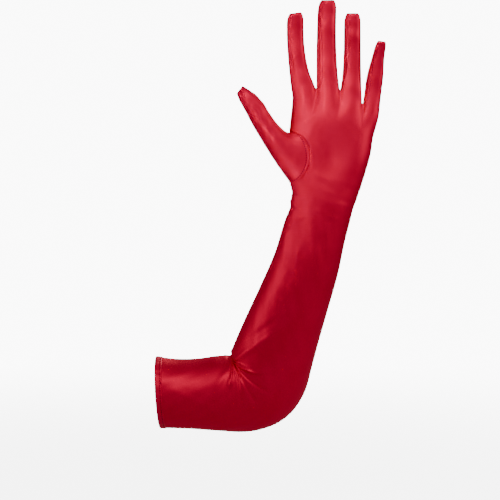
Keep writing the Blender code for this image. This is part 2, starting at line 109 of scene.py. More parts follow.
# Finer creases of the same form, which only the look needs.
SLEEVE_CREASES = np.array([
    (1.50, -58.0, 1.46, -98.0, 0.060, -0.020),
    (1.62, -40.0, 1.74, -96.0, 0.055, -0.022),
    (1.78, -44.0, 2.04, -92.0, 0.055, 0.016),
    (1.38, -40.0, 1.22, -92.0, 0.055, -0.020),
    (1.22, -44.0, 0.98, -88.0, 0.060, 0.015),
    (2.10, -30.0, 2.34, -74.0, 0.070, -0.012),
    (1.55, 54.0, 1.62, 96.0, 0.060, -0.020),
    (1.80, 44.0, 2.06, 88.0, 0.060, 0.015),
    (1.24, 44.0, 1.00, 86.0, 0.060, 0.014),
    (0.94, -8.0, 0.95, 30.0, 0.045, 0.022),
    (2.20, -120.0, 2.62, -60.0, 0.130, 0.012),
    (2.36, -150.0, 2.80, -84.0, 0.120, 0.010),
    (2.55, -40.0, 2.86, -110.0, 0.100, -0.009),
    (2.74, -20.0, 2.90, -64.0, 0.060, 0.012),
    (2.86, -30.0, 2.95, -96.0, 0.050, -0.012),
    (2.955, -60.0, 2.93, -130.0, 0.050, 0.012),
    (0.20, -60.0, 0.75, -96.0, 0.120, 0.010),
    (0.30, -130.0, 0.86, -110.0, 0.120, -0.010),
])

# Height as a share of the palm's length, thumb edge and little edge as shares of its width, and depth as a
# share of its thickness.
PALM_SECTIONS = np.array([
    (0.00, -0.400, 0.355, 0.69),
    (0.12, -0.425, 0.405, 0.62),
    (0.25, -0.405, 0.455, 0.57),
    (0.40, -0.408, 0.515, 0.53),
    (0.58, -0.408, 0.552, 0.50),
    (0.72, -0.386, 0.577, 0.46),
    (0.84, -0.372, 0.597, 0.41),
    (1.00, -0.370, 0.605, 0.35),
])

# Finger roots from the index finger's outer side to the little finger's: across as a share of the palm's
# width, height as a share of its length.
FINGER_ROOTS = np.array([
    (-0.372, 0.923),
    (-0.106, 0.997),
    (0.170, 0.984),
    (0.428, 0.862),
    (0.620, 0.782),
])

# Lean, length and bow as shares of the finger length, middle and tip widths of the finger width, then
# shares of the finger depth and of the curl.
FINGERS = np.array([
    (-0.108, 0.902, -0.035, 0.860, 0.810, 0.97, 1.10),
    (-0.017, 1.020, -0.014, 0.955, 0.885, 1.00, 0.80),
    (0.000, 0.955, 0.007, 0.845, 0.785, 0.96, 0.90),
    (0.103, 0.760, -0.010, 0.800, 0.530, 0.80, 1.20),
])

# Share of the thumb, then how far its outer edge has come along it and lies off the straight outer line, the
# same two of its inner edge, and its depth, as shares of the thumb's length, width and depth.
THUMB_SECTIONS = np.array([
    (0.00, 0.000, 0.00, 0.400, 1.37, 1.50),
    (0.15, 0.180, -0.085, 0.406, 1.290, 1.31),
    (0.30, 0.345, -0.105, 0.446, 1.175, 1.21),
    (0.45, 0.495, -0.105, 0.535, 1.045, 1.08),
    (0.60, 0.640, -0.095, 0.645, 0.985, 1.00),
    (0.75, 0.785, -0.045, 0.765, 0.975, 0.93),
    (0.88, 0.900, -0.015, 0.885, 0.835, 0.82),
    (1.00, 0.976, 0.040, 1.008, 0.510, 0.70),
])

# Soft relief of the hand under the cloth. Place across and height as shares of the palm's width and length,
# reach across and up likewise, and rise in metres. A negative rise is a hollow.
PALM_RELIEF = np.array([
    (0.04, 0.32, 0.18, 0.19, -0.0036),
    (0.38, 0.32, 0.14, 0.26, 0.0016),
    (-0.02, 0.73, 0.36, 0.15, 0.0018),
    (-0.22, 0.88, 0.10, 0.11, 0.0006),
    (0.03, 0.90, 0.10, 0.11, 0.0006),
    (0.29, 0.86, 0.10, 0.11, 0.0006),
    (0.51, 0.74, 0.09, 0.11, 0.0005),
    (-0.106, 0.965, 0.020, 0.030, -0.0010),
    (0.170, 0.950, 0.020, 0.030, -0.0010),
    (0.428, 0.825, 0.022, 0.038, -0.0011),
])
BACK_RELIEF = np.array([
    (-0.22, 0.93, 0.08, 0.08, 0.0012),
    (0.03, 0.97, 0.08, 0.08, 0.0014),
    (0.29, 0.93, 0.08, 0.08, 0.0012),
    (0.51, 0.82, 0.07, 0.08, 0.0010),
    (-0.10, 0.82, 0.035, 0.14, -0.0007),
    (0.17, 0.82, 0.035, 0.14, -0.0008),
    (0.42, 0.74, 0.035, 0.14, -0.0007),
    (-0.106, 0.960, 0.022, 0.030, -0.0009),
    (0.170, 0.945, 0.022, 0.030, -0.0009),
    (0.428, 0.820, 0.024, 0.040, -0.0009),
])

# Drawn creases over the palm: place across and height of both ends as shares of the palm's width and
# length, then width and rise in metres.
PALM_CREASES = np.array([
    (-0.13, 0.60, 0.10, 0.50, 0.0022, -0.00045),
    (-0.12, 0.54, 0.02, 0.38, 0.0020, 0.00040),
    (-0.14, 0.24, 0.10, 0.12, 0.0026, 0.00045),
    (-0.10, 0.16, 0.14, 0.05, 0.0022, -0.00040),
    (0.40, 0.55, 0.20, 0.72, 0.0030, -0.00035),
    (-0.30, 0.74, -0.06, 0.80, 0.0026, -0.00030),
    (-0.36, 0.66, -0.20, 0.70, 0.0016, 0.00040),
])

# Soft pads along the palm side of the fingers: which finger, place and reach as shares of its length, rise.
FINGER_PADS = np.array([
    (0, 0.50, 0.13, 0.0014),
    (0, 0.20, 0.08, 0.0010),
    (1, 0.71, 0.09, 0.0014),
    (1, 0.24, 0.08, 0.0012),
    (2, 0.72, 0.08, 0.0014),
    (2, 0.14, 0.08, 0.0010),
    (3, 0.42, 0.10, 0.0010),
])

# How far the sewing lies from each strip's seam: on the finger before it and on the finger after it.
STITCH_INSETS = np.array([
    (0.0012, 0.0044),
    (0.0012, 0.0014),
    (0.0012, 0.0038),
])


class Side(Enum):
    """Which half of the glove a grid covers."""

    PALM = -1
    BACK = 1


class Seed(IntEnum):
    """Seeds of the uneven ripples. A finger's or a side's number is added where each has its own."""

    HAND_SIDE_SEAM = 5
    SLEEVE_SIDE_SEAM = 6
    THUMB_SIDE_SEAM = 10
    LITTLE_SIDE_SEAM = 20
    FINGER_DRAG = 31
    WRIST = 41
    LONG_DRAPE = 51
    CROSS_DRAPE = 54
    STRIP_SEAM = 60
    THUMB_GATHERS = 71
    THUMB_DRAG = 72
    HEM = 81


LAST_FINGER = len(FINGERS) - 1
HAND_RELIEF = {Side.PALM: PALM_RELIEF, Side.BACK: BACK_RELIEF}


def smooth(share: Array) -> Array:
    """A soft step: 3 times the square less 2 times the cube, from 0 to 1."""
    share = np.clip(share, 0.0, 1.0)
    return share * share * (3.0 - 2.0 * share)


def bell(distance: Array, width: float) -> Array:
    """1 at no distance, falling off as the exponential of minus the squared distance in widths."""
    return np.exp(-((distance / width) ** 2))


def along_table(table: Array, column: int, value: Array) -> Array:
    """A table's column between its rows, as a Hermite curve whose slopes are the table's gradient.

    Args:
        table: rows in rising order of their first column.
        column: the column to read.
        value: where to read it.

    Returns:
        The column's value at each place.
    """
    x, y = table[:, 0], table[:, column]
    slope = np.gradient(y, x)
    value = np.clip(value, x[0], x[-1])
    row = np.clip(np.searchsorted(x, value, side="right") - 1, 0, len(x) - 2)
    step = x[row + 1] - x[row]
    t = (value - x[row]) / step
    start = (1 + 2 * t) * (1 - t) ** 2 * y[row] + t * (1 - t) ** 2 * step * slope[row]
    end = t * t * (3 - 2 * t) * y[row + 1] + t * t * (t - 1) * step * slope[row + 1]
    return start + end


def crowded_ends(count: int, pull: float) -> Array:
    """Shares from 0 to 1 that lie closer together at both ends.

    Args:
        count: how many shares.
        pull: 0 for even steps, towards 1 for steps that vanish at the ends.

    Returns:
        The even shares less pull times a sine of one full turn.
    """
    share = np.linspace(0.0, 1.0, count)
    return share - pull * np.sin(2 * math.pi * share) / (2 * math.pi)


def seeded_waves(place: Array, count: int, shortest: float, longest: float, seed: int) -> Array:
    """An uneven ripple along a line: sines of seeded lengths and phases, added and brought to about 1.

    Args:
        place: distances along the line.
        count: how many sines.
        shortest: the shortest wave's length.
        longest: the longest wave's length.
        seed: the random seed.

    Returns:
        The ripple at each place.
    """
    draw = np.random.default_rng(seed)
    lengths = draw.uniform(shortest, longest, count)
    phases = draw.uniform(0, 2 * math.pi, count)
    waves = np.sin(2 * math.pi * np.asarray(place)[..., None] / lengths + phases)
    return waves.sum(-1) / math.sqrt(count)


@dataclass(frozen=True)
class Ripple:
    """Uneven ripples in the cloth.

    Attributes:
        height: of the ripples.
        waves: how many sines make them up.
        shortest: the shortest wave's length.
        longest: the longest wave's length.
        slant: how much of the distance aside counts with the distance along.
    """

    height: float
    waves: int
    shortest: float
    longest: float
    slant: float = 0.0

    def lift(self, along: Array, aside: Array | float, seed: int) -> Array:
        """Lift of the cloth: the height times seeded waves along a slanting line.

        Args:
            along: distances along the cloth.
            aside: distances across it.
            seed: the random seed.

        Returns:
            The lift in metres.
        """
        place = along + self.slant * aside
        return self.height * seeded_waves(place, self.waves, self.shortest, self.longest, seed)


def ridge(
    places: tuple[Array, Array],
    ends: tuple[Array, Array],
    width: float,
    height: float,
    over: float,
    fade: float,
) -> Array:
    """A ridge over a straight line: a bell across the line, fading at its two ends.

    Args:
        places: the two coordinates of the places.
        ends: the line's two ends in the same coordinates.
        width: the bell's width.
        height: the ridge's height.
        over: how far the ridge reaches past the ends, as a share of the line.
        fade: the share of the line over which it fades.

    Returns:
        The height at each place.
    """
    line = ends[1] - ends[0]
    first, second = places[0] - ends[0][0], places[1] - ends[0][1]
    share = (first * line[0] + second * line[1]) / (line @ line)
    off = (first * line[1] - second * line[0]) / math.hypot(*line)
    return height * smooth(np.minimum(share + over, 1.0 + over - share) / fade) * bell(off, width)


@dataclass(frozen=True)
class GloveShape:
    """The glove's form: the sleeve round the bent arm, the hand, the fingers and the thumb.

    Lengths are in metres and angles in degrees.

    Attributes:
        upper_arm_length: from the hem to the start of the bend.
        elbow_radius: of the centre line's arc.
        elbow_turn: the arc's angle.
        arm_lean: how far the bent arm's plane leans from upright.
        forearm_length: from the end of the bend to the wrist.
        wrist_ease: how far the wrist comes back from the leaning line.
        wrist_ease_height: the height in the hand up to which that eases out.
        arm_radius: what the sleeve's table is a share of.
        wrist_radius: what the wrist's table is a share of, towards the crook and the elbow.
        wrist_depth: what it is a share of across.
        hem_slant: the hem's slope from square.
        palm_length: the palm's height, from the wrist to the middle finger's root.
        palm_width: what the palm's table is a share of across.
        palm_depth: what it is a share of in depth.
        hand_tilt: the hand's turn towards the little finger.
        finger_length: what the fingers' table is a share of in length.
        finger_width: the same across.
        finger_depth: the same in depth.
        finger_curl: how far a fingertip lies towards the palm.
        middle_share: the share of a finger where the table's middle width lies.
        end_share: the share where its tip width starts.
        tip_start: the share where the tip starts to close.
        tip_narrowing: how much of the width the closing takes.
        root_fullness: the root's depth as a share of the finger's.
        depth_taper: how much of the depth goes from root to tip.
        bend_start: the share where the tip starts to bend towards the palm.
        tip_bend: how far it bends.
        root_share: the share over which the squared root rounds off.
        crotch_width: the gap between two fingers' roots.
        fourchette_angle: half the angle of a finger's side that a strip takes, beyond the end angle.
        fourchette_end_angle: half the angle that is left where the strip starts to close.
        fourchette_end: the share where it starts to close.
        fourchette_point: the share where it ends in a point.
        thumb_length: what the thumb's table is a share of in length.
        thumb_width: the same across.
        thumb_depth: the same in depth.
        thumb_angle: the thumb's lean from the hand's upward line.
        thumb_forward: its lean towards the palm side.
        hole_foot: the height of the oval's lower end.
        hole_height: from there to its upper end.
        hole_reach: how far it reaches from the hand's thumb edge.
    """

    upper_arm_length: float = 0.070
    elbow_radius: float = 0.042
    elbow_turn: float = 73.0
    arm_lean: float = 15.6
    forearm_length: float = 0.171
    wrist_ease: float = 0.0068
    wrist_ease_height: float = 0.040
    arm_radius: float = 0.036
    wrist_radius: float = 0.029
    wrist_depth: float = 0.021
    hem_slant: float = 0.066
    palm_length: float = 0.104
    palm_width: float = 0.082
    palm_depth: float = 0.030
    hand_tilt: float = 0.4
    finger_length: float = 0.081
    finger_width: float = 0.0195
    finger_depth: float = 0.0165
    finger_curl: float = 0.007
    middle_share: float = 0.45
    end_share: float = 0.9
    tip_start: float = 0.86
    tip_narrowing: float = 0.34
    root_fullness: float = 1.06
    depth_taper: float = 0.22
    bend_start: float = 0.78
    tip_bend: float = 0.0026
    root_share: float = 0.35
    crotch_width: float = 0.0018
    fourchette_angle: float = 33.0
    fourchette_end_angle: float = 7.0
    fourchette_end: float = 0.91
    fourchette_point: float = 0.935
    thumb_length: float = 0.099
    thumb_width: float = 0.0180
    thumb_depth: float = 0.0205
    thumb_angle: float = 32.2
    thumb_forward: float = 7.0
    hole_foot: float = 0.0150
    hole_height: float = 0.0475
    hole_reach: float = 0.0185

    @property
    def turn(self) -> float:
        """The elbow's turn in radians."""
        return math.radians(self.elbow_turn)

    @property
    def sleeve(self) -> Array:
        """The sleeve's sections, arm and wrist together.

        Returns:
            Rows of station, then distances in metres towards the crook, towards the elbow and across.
        """
        arm = SLEEVE_SECTIONS * (1.0, self.arm_radius, self.arm_radius, self.arm_radius)
        wrist = WRIST_SECTIONS * (1.0, self.wrist_radius, self.wrist_radius, self.wrist_depth)
        return np.vstack((arm, wrist))

    def distance_of(self, station: Array) -> Array:
        """Distance along the centre line from the hem to a station."""
        legs = (0.0, self.upper_arm_length, self.elbow_radius * self.turn, self.forearm_length)
        return np.interp(station, (0, 1, 2, 3), np.cumsum(legs))

    def arm_axes(self, station: Array) -> tuple[Array, Array, Array]:
        """The sleeve's centre line: straight, then an arc about the hinge at the crook, then straight.

        Args:
            station: 0 hem, 1 crook, 2 end of the bend, 3 wrist.

        Returns:
            The centres, the directions towards the crook and the directions towards the back side.
        """
        lean = math.radians(self.arm_lean)
        forward = np.array((1.0, 0.0, 0.0))
        upward = np.array((0.0, -math.sin(lean), math.cos(lean)))
        backward = np.array((0.0, math.cos(lean), math.sin(lean)))
        turned = np.clip(station - 1.0, 0.0, 1.0)[..., None] * self.turn
        crookward = -np.sin(turned) * forward + np.cos(turned) * upward
        ahead = np.cos(turned) * forward + np.sin(turned) * upward
        hinge = self.upper_arm_length * forward + self.elbow_radius * upward
        before = np.clip(station - 1.0, -1.0, 0.0)[..., None] * self.upper_arm_length * forward
        along = np.clip(station - 2.0, 0.0, 1.0)[..., None]
        ease = along**3 * self.wrist_ease * np.array((0.0, 1.0, 0.0))
        centre = hinge - self.elbow_radius * crookward + before + along * self.forearm_length * ahead + ease
        return centre, crookward, np.broadcast_to(backward, centre.shape)

    def fold_height(self, station: Array, angle: Array, table: Array) -> Array:
        """Height of the sleeve's folds, each a ridge over a straight line of the unrolled cloth.

        Args:
            station: places along the sleeve.
            angle: places round it, in radians from the crook side.
            table: the folds, with the columns of SLEEVE_FOLDS.

        Returns:
            The height at each place.
        """
        places = self.distance_of(station), angle * self.arm_radius
        height = np.zeros(np.broadcast(station, angle).shape)
        for station_0, angle_0, station_1, angle_1, width, rise in table:
            start = np.array((self.distance_of(station_0), math.radians(angle_0) * self.arm_radius))
            end = np.array((self.distance_of(station_1), math.radians(angle_1) * self.arm_radius))
            width, rise = width * self.arm_radius, rise * self.arm_radius
            height += ridge(places, (start, end), width, rise, over=0.12, fade=0.35)
        return height

    def sleeve_points(self, station: Array, angle: Array, rise: Array | float = 0.0) -> Array:
        """Points of the sleeve: its centre, plus the section's reach at an angle, plus the folds.

        Args:
            station: places along the sleeve.
            angle: radians from the crook side, negative over the palm side.
            rise: how far outwards from the skin.

        Returns:
            The points.
        """
        centre, crookward, backward = self.arm_axes(station)
        towards_crook, towards_elbow, across = (along_table(self.sleeve, n, station) for n in (1, 2, 3))
        lift = self.fold_height(station, angle, np.vstack((SLEEVE_FOLDS, SLEEVE_CREASES))) + rise
        reach = np.where(np.cos(angle) > 0, towards_crook, towards_elbow) + lift
        out = (reach * np.cos(angle))[..., None] * crookward
        out = out + ((across + lift) * np.sin(angle))[..., None] * backward
        slant = -self.hem_slant * out[..., 2] * np.clip(1.0 - station, 0.0, 1.0)
        return centre + out + slant[..., None] * np.array((1.0, 0.0, 0.0))

    def hand_axes(self) -> tuple[Array, Array, Array, Array]:
        """The hand's frame.

        Returns:
            The wrist's centre and the directions to the little finger, up, and to the back of the hand.
        """
        wrist = self.arm_axes(np.array(3.0))[0]
        tilt = math.radians(self.hand_tilt)
        across = np.array((math.cos(tilt), 0.0, -math.sin(tilt)))
        upward = np.array((math.sin(tilt), 0.0, math.cos(tilt)))
        return wrist, across, upward, np.array((0.0, 1.0, 0.0))

    def in_hand(self, across: Array | float, height: Array | float, depth: Array | float) -> Array:
        """World points of hand coordinates.

        Args:
            across: towards the little finger.
            height: up from the wrist.
            depth: towards the back of the hand.

        Returns:
            The points.
        """
        wrist, *axes = self.hand_axes()
        parts = np.broadcast_arrays(across, height, depth)
        return wrist + sum(part[..., None] * axis for part, axis in zip(parts, axes))

    def hand_coordinates(self, points: Array) -> list[Array]:
        """Hand coordinates of world points: across, height and depth."""
        wrist, *axes = self.hand_axes()
        return [(points - wrist) @ axis for axis in axes]

    def finger_root(self, finger: int) -> tuple[Array, Array]:
        """Where a finger starts on the hand.

        Args:
            finger: 0 for the index finger to 3 for the little finger.

        Returns:
            The centre and the half span of its root, each as across and height.
        """
        scale = np.array((self.palm_width, self.palm_length))
        first, second = FINGER_ROOTS[finger] * scale, FINGER_ROOTS[finger + 1] * scale
        first[0] += self.crotch_width / 2 if finger > 0 else 0.0
        second[0] -= self.crotch_width / 2 if finger < LAST_FINGER else 0.0
        return (first + second) / 2, (second - first) / 2

    def finger_widths(self, finger: int, share: Array) -> tuple[Array, Array]:
        """Half width and half depth of a finger, closing to a line at its tip.

        The width follows a profile of root, middle and tip, and loses a part by the cube of how far the tip
        has closed. The depth tapers evenly and closes as a quarter of an ellipse.

        Args:
            finger: 0 for the index finger to 3 for the little finger.
            share: places along it.

        Returns:
            The half widths and the half depths.
        """
        _, _, _, middle, tip, depth, _ = FINGERS[finger]
        root = 2 * self.finger_root(finger)[1][0] / self.finger_width
        profile = np.array(((0.0, root), (self.middle_share, middle), (self.end_share, tip), (1.0, tip)))
        width = along_table(profile, 1, share) * self.finger_width / 2
        closing = np.clip((share - self.tip_start) / (1.0 - self.tip_start), 0.0, 1.0)
        depth = depth * self.finger_depth / 2 * (self.root_fullness - self.depth_taper * share)
        return width * (1.0 - self.tip_narrowing * closing**3), depth * np.sqrt(1.0 - closing**2)

    def finger_rows(self, straight: int = 34, tip: int = 13) -> Array:
        """Shares of a finger for its rows: even up to where the tip closes, then by the sine of even angles.

        Args:
            straight: how many even rows.
            tip: how many rows over the closing tip.

        Returns:
            The shares in rising order, with the two ends of the strips' points among them.
        """
        even = np.linspace(0, self.tip_start, straight)
        closing = self.tip_start + (1.0 - self.tip_start) * np.sin(np.linspace(0, math.pi / 2, tip))
        shares = np.concatenate((even, closing, (self.fourchette_end, self.fourchette_point)))
        return np.unique(np.round(shares, 5))

    def seam_angle(self, share: Array) -> Array:
        """Half the angle that a strip takes of a finger's side, narrowing to a point near the tip.

        Args:
            share: places along the finger.

        Returns:
            The angles in radians.
        """
        open_share = np.clip(share / self.fourchette_end, 0.0, 1.0)
        closing = (self.fourchette_point - share) / (self.fourchette_point - self.fourchette_end)
        angle = math.radians(self.fourchette_angle) * (1.0 - open_share**3)
        return angle + math.radians(self.fourchette_end_angle) * np.clip(closing, 0.0, 1.0)

    def side_seams(self, finger: int, share: Array) -> tuple[Array, Array]:
        """Where a finger's two side seams run over its palm half.

        Args:
            finger: 0 for the index finger to 3 for the little finger.
            share: places along it.

        Returns:
            The seams' angles on the thumb side and on the little finger's side.
        """
        first = np.zeros_like(share) if finger == 0 else self.seam_angle(share)
        last = np.zeros_like(share) if finger == LAST_FINGER else self.seam_angle(share)
        return -math.pi + first, -last

    def finger_points(self, finger: int, share: Array, angle: Array) -> Array:
        """Points of a finger: an ellipse carried along a leaning, bowed line, squared up at its root.

        Args:
            finger: 0 for the index finger to 3 for the little finger.
            share: places along it.
            angle: radians round it, 0 on the little finger's side and a negative quarter turn over the palm.

        Returns:
            The points.
        """
        lean, length, bow, _, _, _, curl = FINGERS[finger]
        root, half = self.finger_root(finger)
        width, depth = self.finger_widths(finger, share)
        run = self.finger_length * np.array((lean, length))
        side = np.array((run[1], -run[0])) / math.hypot(*run)
        offset = width * np.cos(angle) + bow * self.finger_length * 4 * share * (1 - share)
        across = root[0] + run[0] * share + side[0] * offset
        height = root[1] + run[1] * share + side[1] * offset
        bent = self.tip_bend * np.clip((share - self.bend_start) / (1.0 - self.bend_start), 0.0, 1.0) ** 2
        back = depth * np.sin(angle) - curl * self.finger_curl * share**2 - bent
        flat = np.clip(np.cos(angle) / math.cos(self.seam_angle(np.array(0.0))), -1.0, 1.0)
        outer = (finger == 0) & (flat < 0) | (finger == LAST_FINGER) & (flat > 0)
        flat = np.where(outer, np.cos(angle), flat)
        settle = 1.0 - smooth(share / self.root_share)
        root_offset = self.finger_widths(finger, np.array(0.0))[0] * np.cos(angle)
        across = across + settle * (half[0] * flat - side[0] * root_offset)
        height = height + settle * (half[1] * flat - side[1] * root_offset)
        return self.in_hand(across, height, back)

    def hole_outline(self, edge: Callable[[float], float], places: int) -> tuple[Array, Array]:
        """The thumb's oval, foot to web: half an ellipse from the hand's thumb edge.

        Args:
            edge: the skin's thumb edge at a height in the hand.
            places: how many points.

        Returns:
            Hand coordinates across and height.
        """
        angle = np.linspace(-math.pi / 2, math.pi / 2, places)
        half = self.hole_height / 2
        height = self.hole_foot + half + half * np.sin(angle)
        return np.array([edge(h) for h in height]) + self.hole_reach * np.cos(angle), height


@dataclass
class Patch:
    """A grid of the glove's skin, row by row.

    Attributes:
        points: rows by columns by 3.
        around: the cloth coordinate across the rows, in metres.
        along: the cloth coordinate up the rows, in metres.
        rise: how far each point is lifted off the plain skin once the whole skin is welded.
    """

    points: Array
    around: Array
    along: Array
    rise: Array


@dataclass
class Skin:
    """Welded cloth, read and written as whole arrays.

    Attributes:
        thing: the object that carries it.
    """

    thing: bpy.types.Object

    def read(self) -> tuple[Array, Array, Array]:
        """Read the mesh as it stands.

        Returns:
            Its points, their normals and their stored rises.
        """
        mesh = self.thing.data
        count = len(mesh.vertices)
        points, normals, rise = np.empty(3 * count), np.empty(3 * count), np.empty(count)
        mesh.vertices.foreach_get("co", points)
        mesh.vertex_normals.foreach_get("vector", normals)
        mesh.attributes["rise"].data.foreach_get("value", rise)
        return points.reshape(-1, 3), normals.reshape(-1, 3), rise

    def write(self, points: Array) -> None:
        """Put new points back into the mesh."""
        self.thing.data.vertices.foreach_set("co", points.ravel())
        self.thing.data.update()

    def lift(self) -> None:
        """Move each point along its normal by its stored rise."""
        points, normals, rise = self.read()
        self.write(points + normals * rise[:, None])

    def face_away(self, inside: Array) -> None:
        """Turn the faces round if, taken together, they look towards a point of the hollow.

        Args:
            inside: the point.
        """
        points, normals, _ = self.read()
        if ((points - inside) * normals).sum() < 0:
            self.thing.data.flip_normals()


def grid_faces(rows: int, columns: int) -> Array:
    """Corner numbers of a grid's quads, counted row by row."""
    corner = (np.arange(rows - 1)[:, None] * columns + np.arange(columns - 1)).ravel()
    return np.stack((corner, corner + 1, corner + columns + 1, corner + columns), axis=1)


def weld(mesh: bpy.types.Mesh, distance: float) -> None:
    """Merge points that meet, take out edges of no length and turn the faces outwards.

    Args:
        mesh: the mesh.
        distance: how near points must lie to be merged.
    """
    welded = bmesh.new()
    welded.from_mesh(mesh)
    bmesh.ops.remove_doubles(welded, verts=welded.verts, dist=distance)
    bmesh.ops.dissolve_degenerate(welded, edges=welded.edges, dist=1e-7)
    bmesh.ops.recalc_face_normals(welded, faces=welded.faces)
    welded.to_mesh(mesh)
    welded.free()


def search_tree(thing: bpy.types.Object) -> BVHTree:
    """A search tree over a piece's plain skin, without its wall.

    Args:
        thing: the piece.

    Returns:
        The tree.
    """
    opened = bmesh.new()
    opened.from_mesh(thing.data)
    tree = BVHTree.FromBMesh(opened)
    opened.free()
    return tree


def add_object(name: str, mesh: bpy.types.Mesh, *finishes: bpy.types.Material) -> bpy.types.Object:
    """Link a smoothly shaded mesh into the scene as a piece.

    Args:
        name: the piece's name.
        mesh: its mesh.
        *finishes: its materials.

    Returns:
        The piece.
    """
    for finish in finishes:
        mesh.materials.append(finish)
    mesh.shade_smooth()
    thing = bpy.data.objects.new(name, mesh)
    bpy.context.scene.collection.objects.link(thing)
    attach(thing, BODY)
    return thing


def skin_object(name: str, patches: list[Patch], *finishes: bpy.types.Material) -> Skin:
    """One welded mesh over several patches.

    Each grid's quads are numbered by row and column, and the patches follow one another in one point array.
    Points of neighbouring patches that meet are then merged and the faces are turned outwards.

    Args:
        name: the piece's name.
        patches: the grids.
        *finishes: its materials.

    Returns:
        The skin.
    """
    starts = np.cumsum([0] + [patch.rise.size for patch in patches])
    faces = np.vstack([grid_faces(*patch.rise.shape) + start for patch, start in zip(patches, starts)])
    points = np.vstack([patch.points.reshape(-1, 3) for patch in patches])
    cloth = np.vstack([np.stack((patch.around.ravel(), patch.along.ravel()), axis=1) for patch in patches])
    rise = np.concatenate([patch.rise.ravel() for patch in patches])
    mesh = bpy.data.meshes.new(name)
    mesh.from_pydata(points, [], faces)
    mesh.uv_layers.new(name="cloth").data.foreach_set("uv", cloth[faces.ravel()].ravel())
    mesh.attributes.new("rise", "FLOAT", "POINT").data.foreach_set("value", rise)
    weld(mesh, 1.5e-5)
    skin = Skin(add_object(name, mesh, *finishes))
    skin.face_away(skin.read()[0].mean(axis=0))
    return skin


def thicken(thing: bpy.types.Object, thickness: float) -> None:
    """Give a skin a wall towards the hollow, with the second finish on its inner face.

    Args:
        thing: the piece.
        thickness: the wall's thickness.
    """
    wall = thing.modifiers.new("wall", "SOLIDIFY")
    wall.thickness = thickness
    wall.offset = -1.0
    wall.use_rim = True
    wall.material_offset = len(thing.data.materials) - 1


@dataclass(frozen=True)
class Seam:
    """A sewn seam in the cloth: a groove on it, a small roll beside it and puckers that fade away from it.

    Attributes:
        depth: of the groove.
        width: of the groove.
        roll: height of the roll.
        roll_place: the roll's distance from the seam.
        roll_width: of the roll.
        puckers: along the seam.
        pucker_reach: how far from the seam they fade.
    """

    depth: float = 0.00040
    width: float = 0.0008
    roll: float = 0.00016
    roll_place: float = 0.0019
    roll_width: float = 0.0011
    puckers: Ripple = Ripple(0.00007, 5, 0.0022, 0.0052)
    pucker_reach: float = 0.0028

    def lift(self, distance: Array, along: Array, seed: int) -> Array:
        """Lift of the cloth beside the seam.

        Args:
            distance: how far from the seam.
            along: how far along the seam.
            seed: the random seed of the puckers.

        Returns:
            The lift in metres.
        """
        groove = -self.depth * bell(distance, self.width)
        roll = self.roll * bell(distance - self.roll_place, self.roll_width)
        puckers = self.puckers.lift(along, 0.0, seed) * np.exp(-distance / self.pucker_reach)
        return groove + roll + puckers


def relief(table: Array, across: Array, height: Array, shape: GloveShape) -> Array:
    """Soft mounds and hollows: each a bell across and up.

    Args:
        table: rows of across, height, reach across, reach up and rise.
        across: hand coordinate across.
        height: hand coordinate up.
        shape: the glove's form.

    Returns:
        The lift in metres.
    """
    place, level = across / shape.palm_width, height / shape.palm_length
    lift = np.zeros(across.shape)
    for middle, up, reach_across, reach_up, rise in table:
        lift += rise * bell(place - middle, reach_across) * bell(level - up, reach_up)
    return lift


def creases(table: Array, across: Array, height: Array, shape: GloveShape) -> Array:
    """Drawn creases over the palm, each a ridge over a straight line.

    Args:
        table: rows of both ends' across and height, width and rise.
        across: hand coordinate across.
        height: hand coordinate up.
        shape: the glove's form.

    Returns:
        The lift in metres.
    """
    scale = np.array((shape.palm_width, shape.palm_length))
    lift = np.zeros(across.shape)
    for across_0, up_0, across_1, up_1, width, rise in table:
        ends = np.array((across_0, up_0)) * scale, np.array((across_1, up_1)) * scale
        lift += ridge((across, height), ends, width, rise, over=0.1, fade=0.4)
    return lift


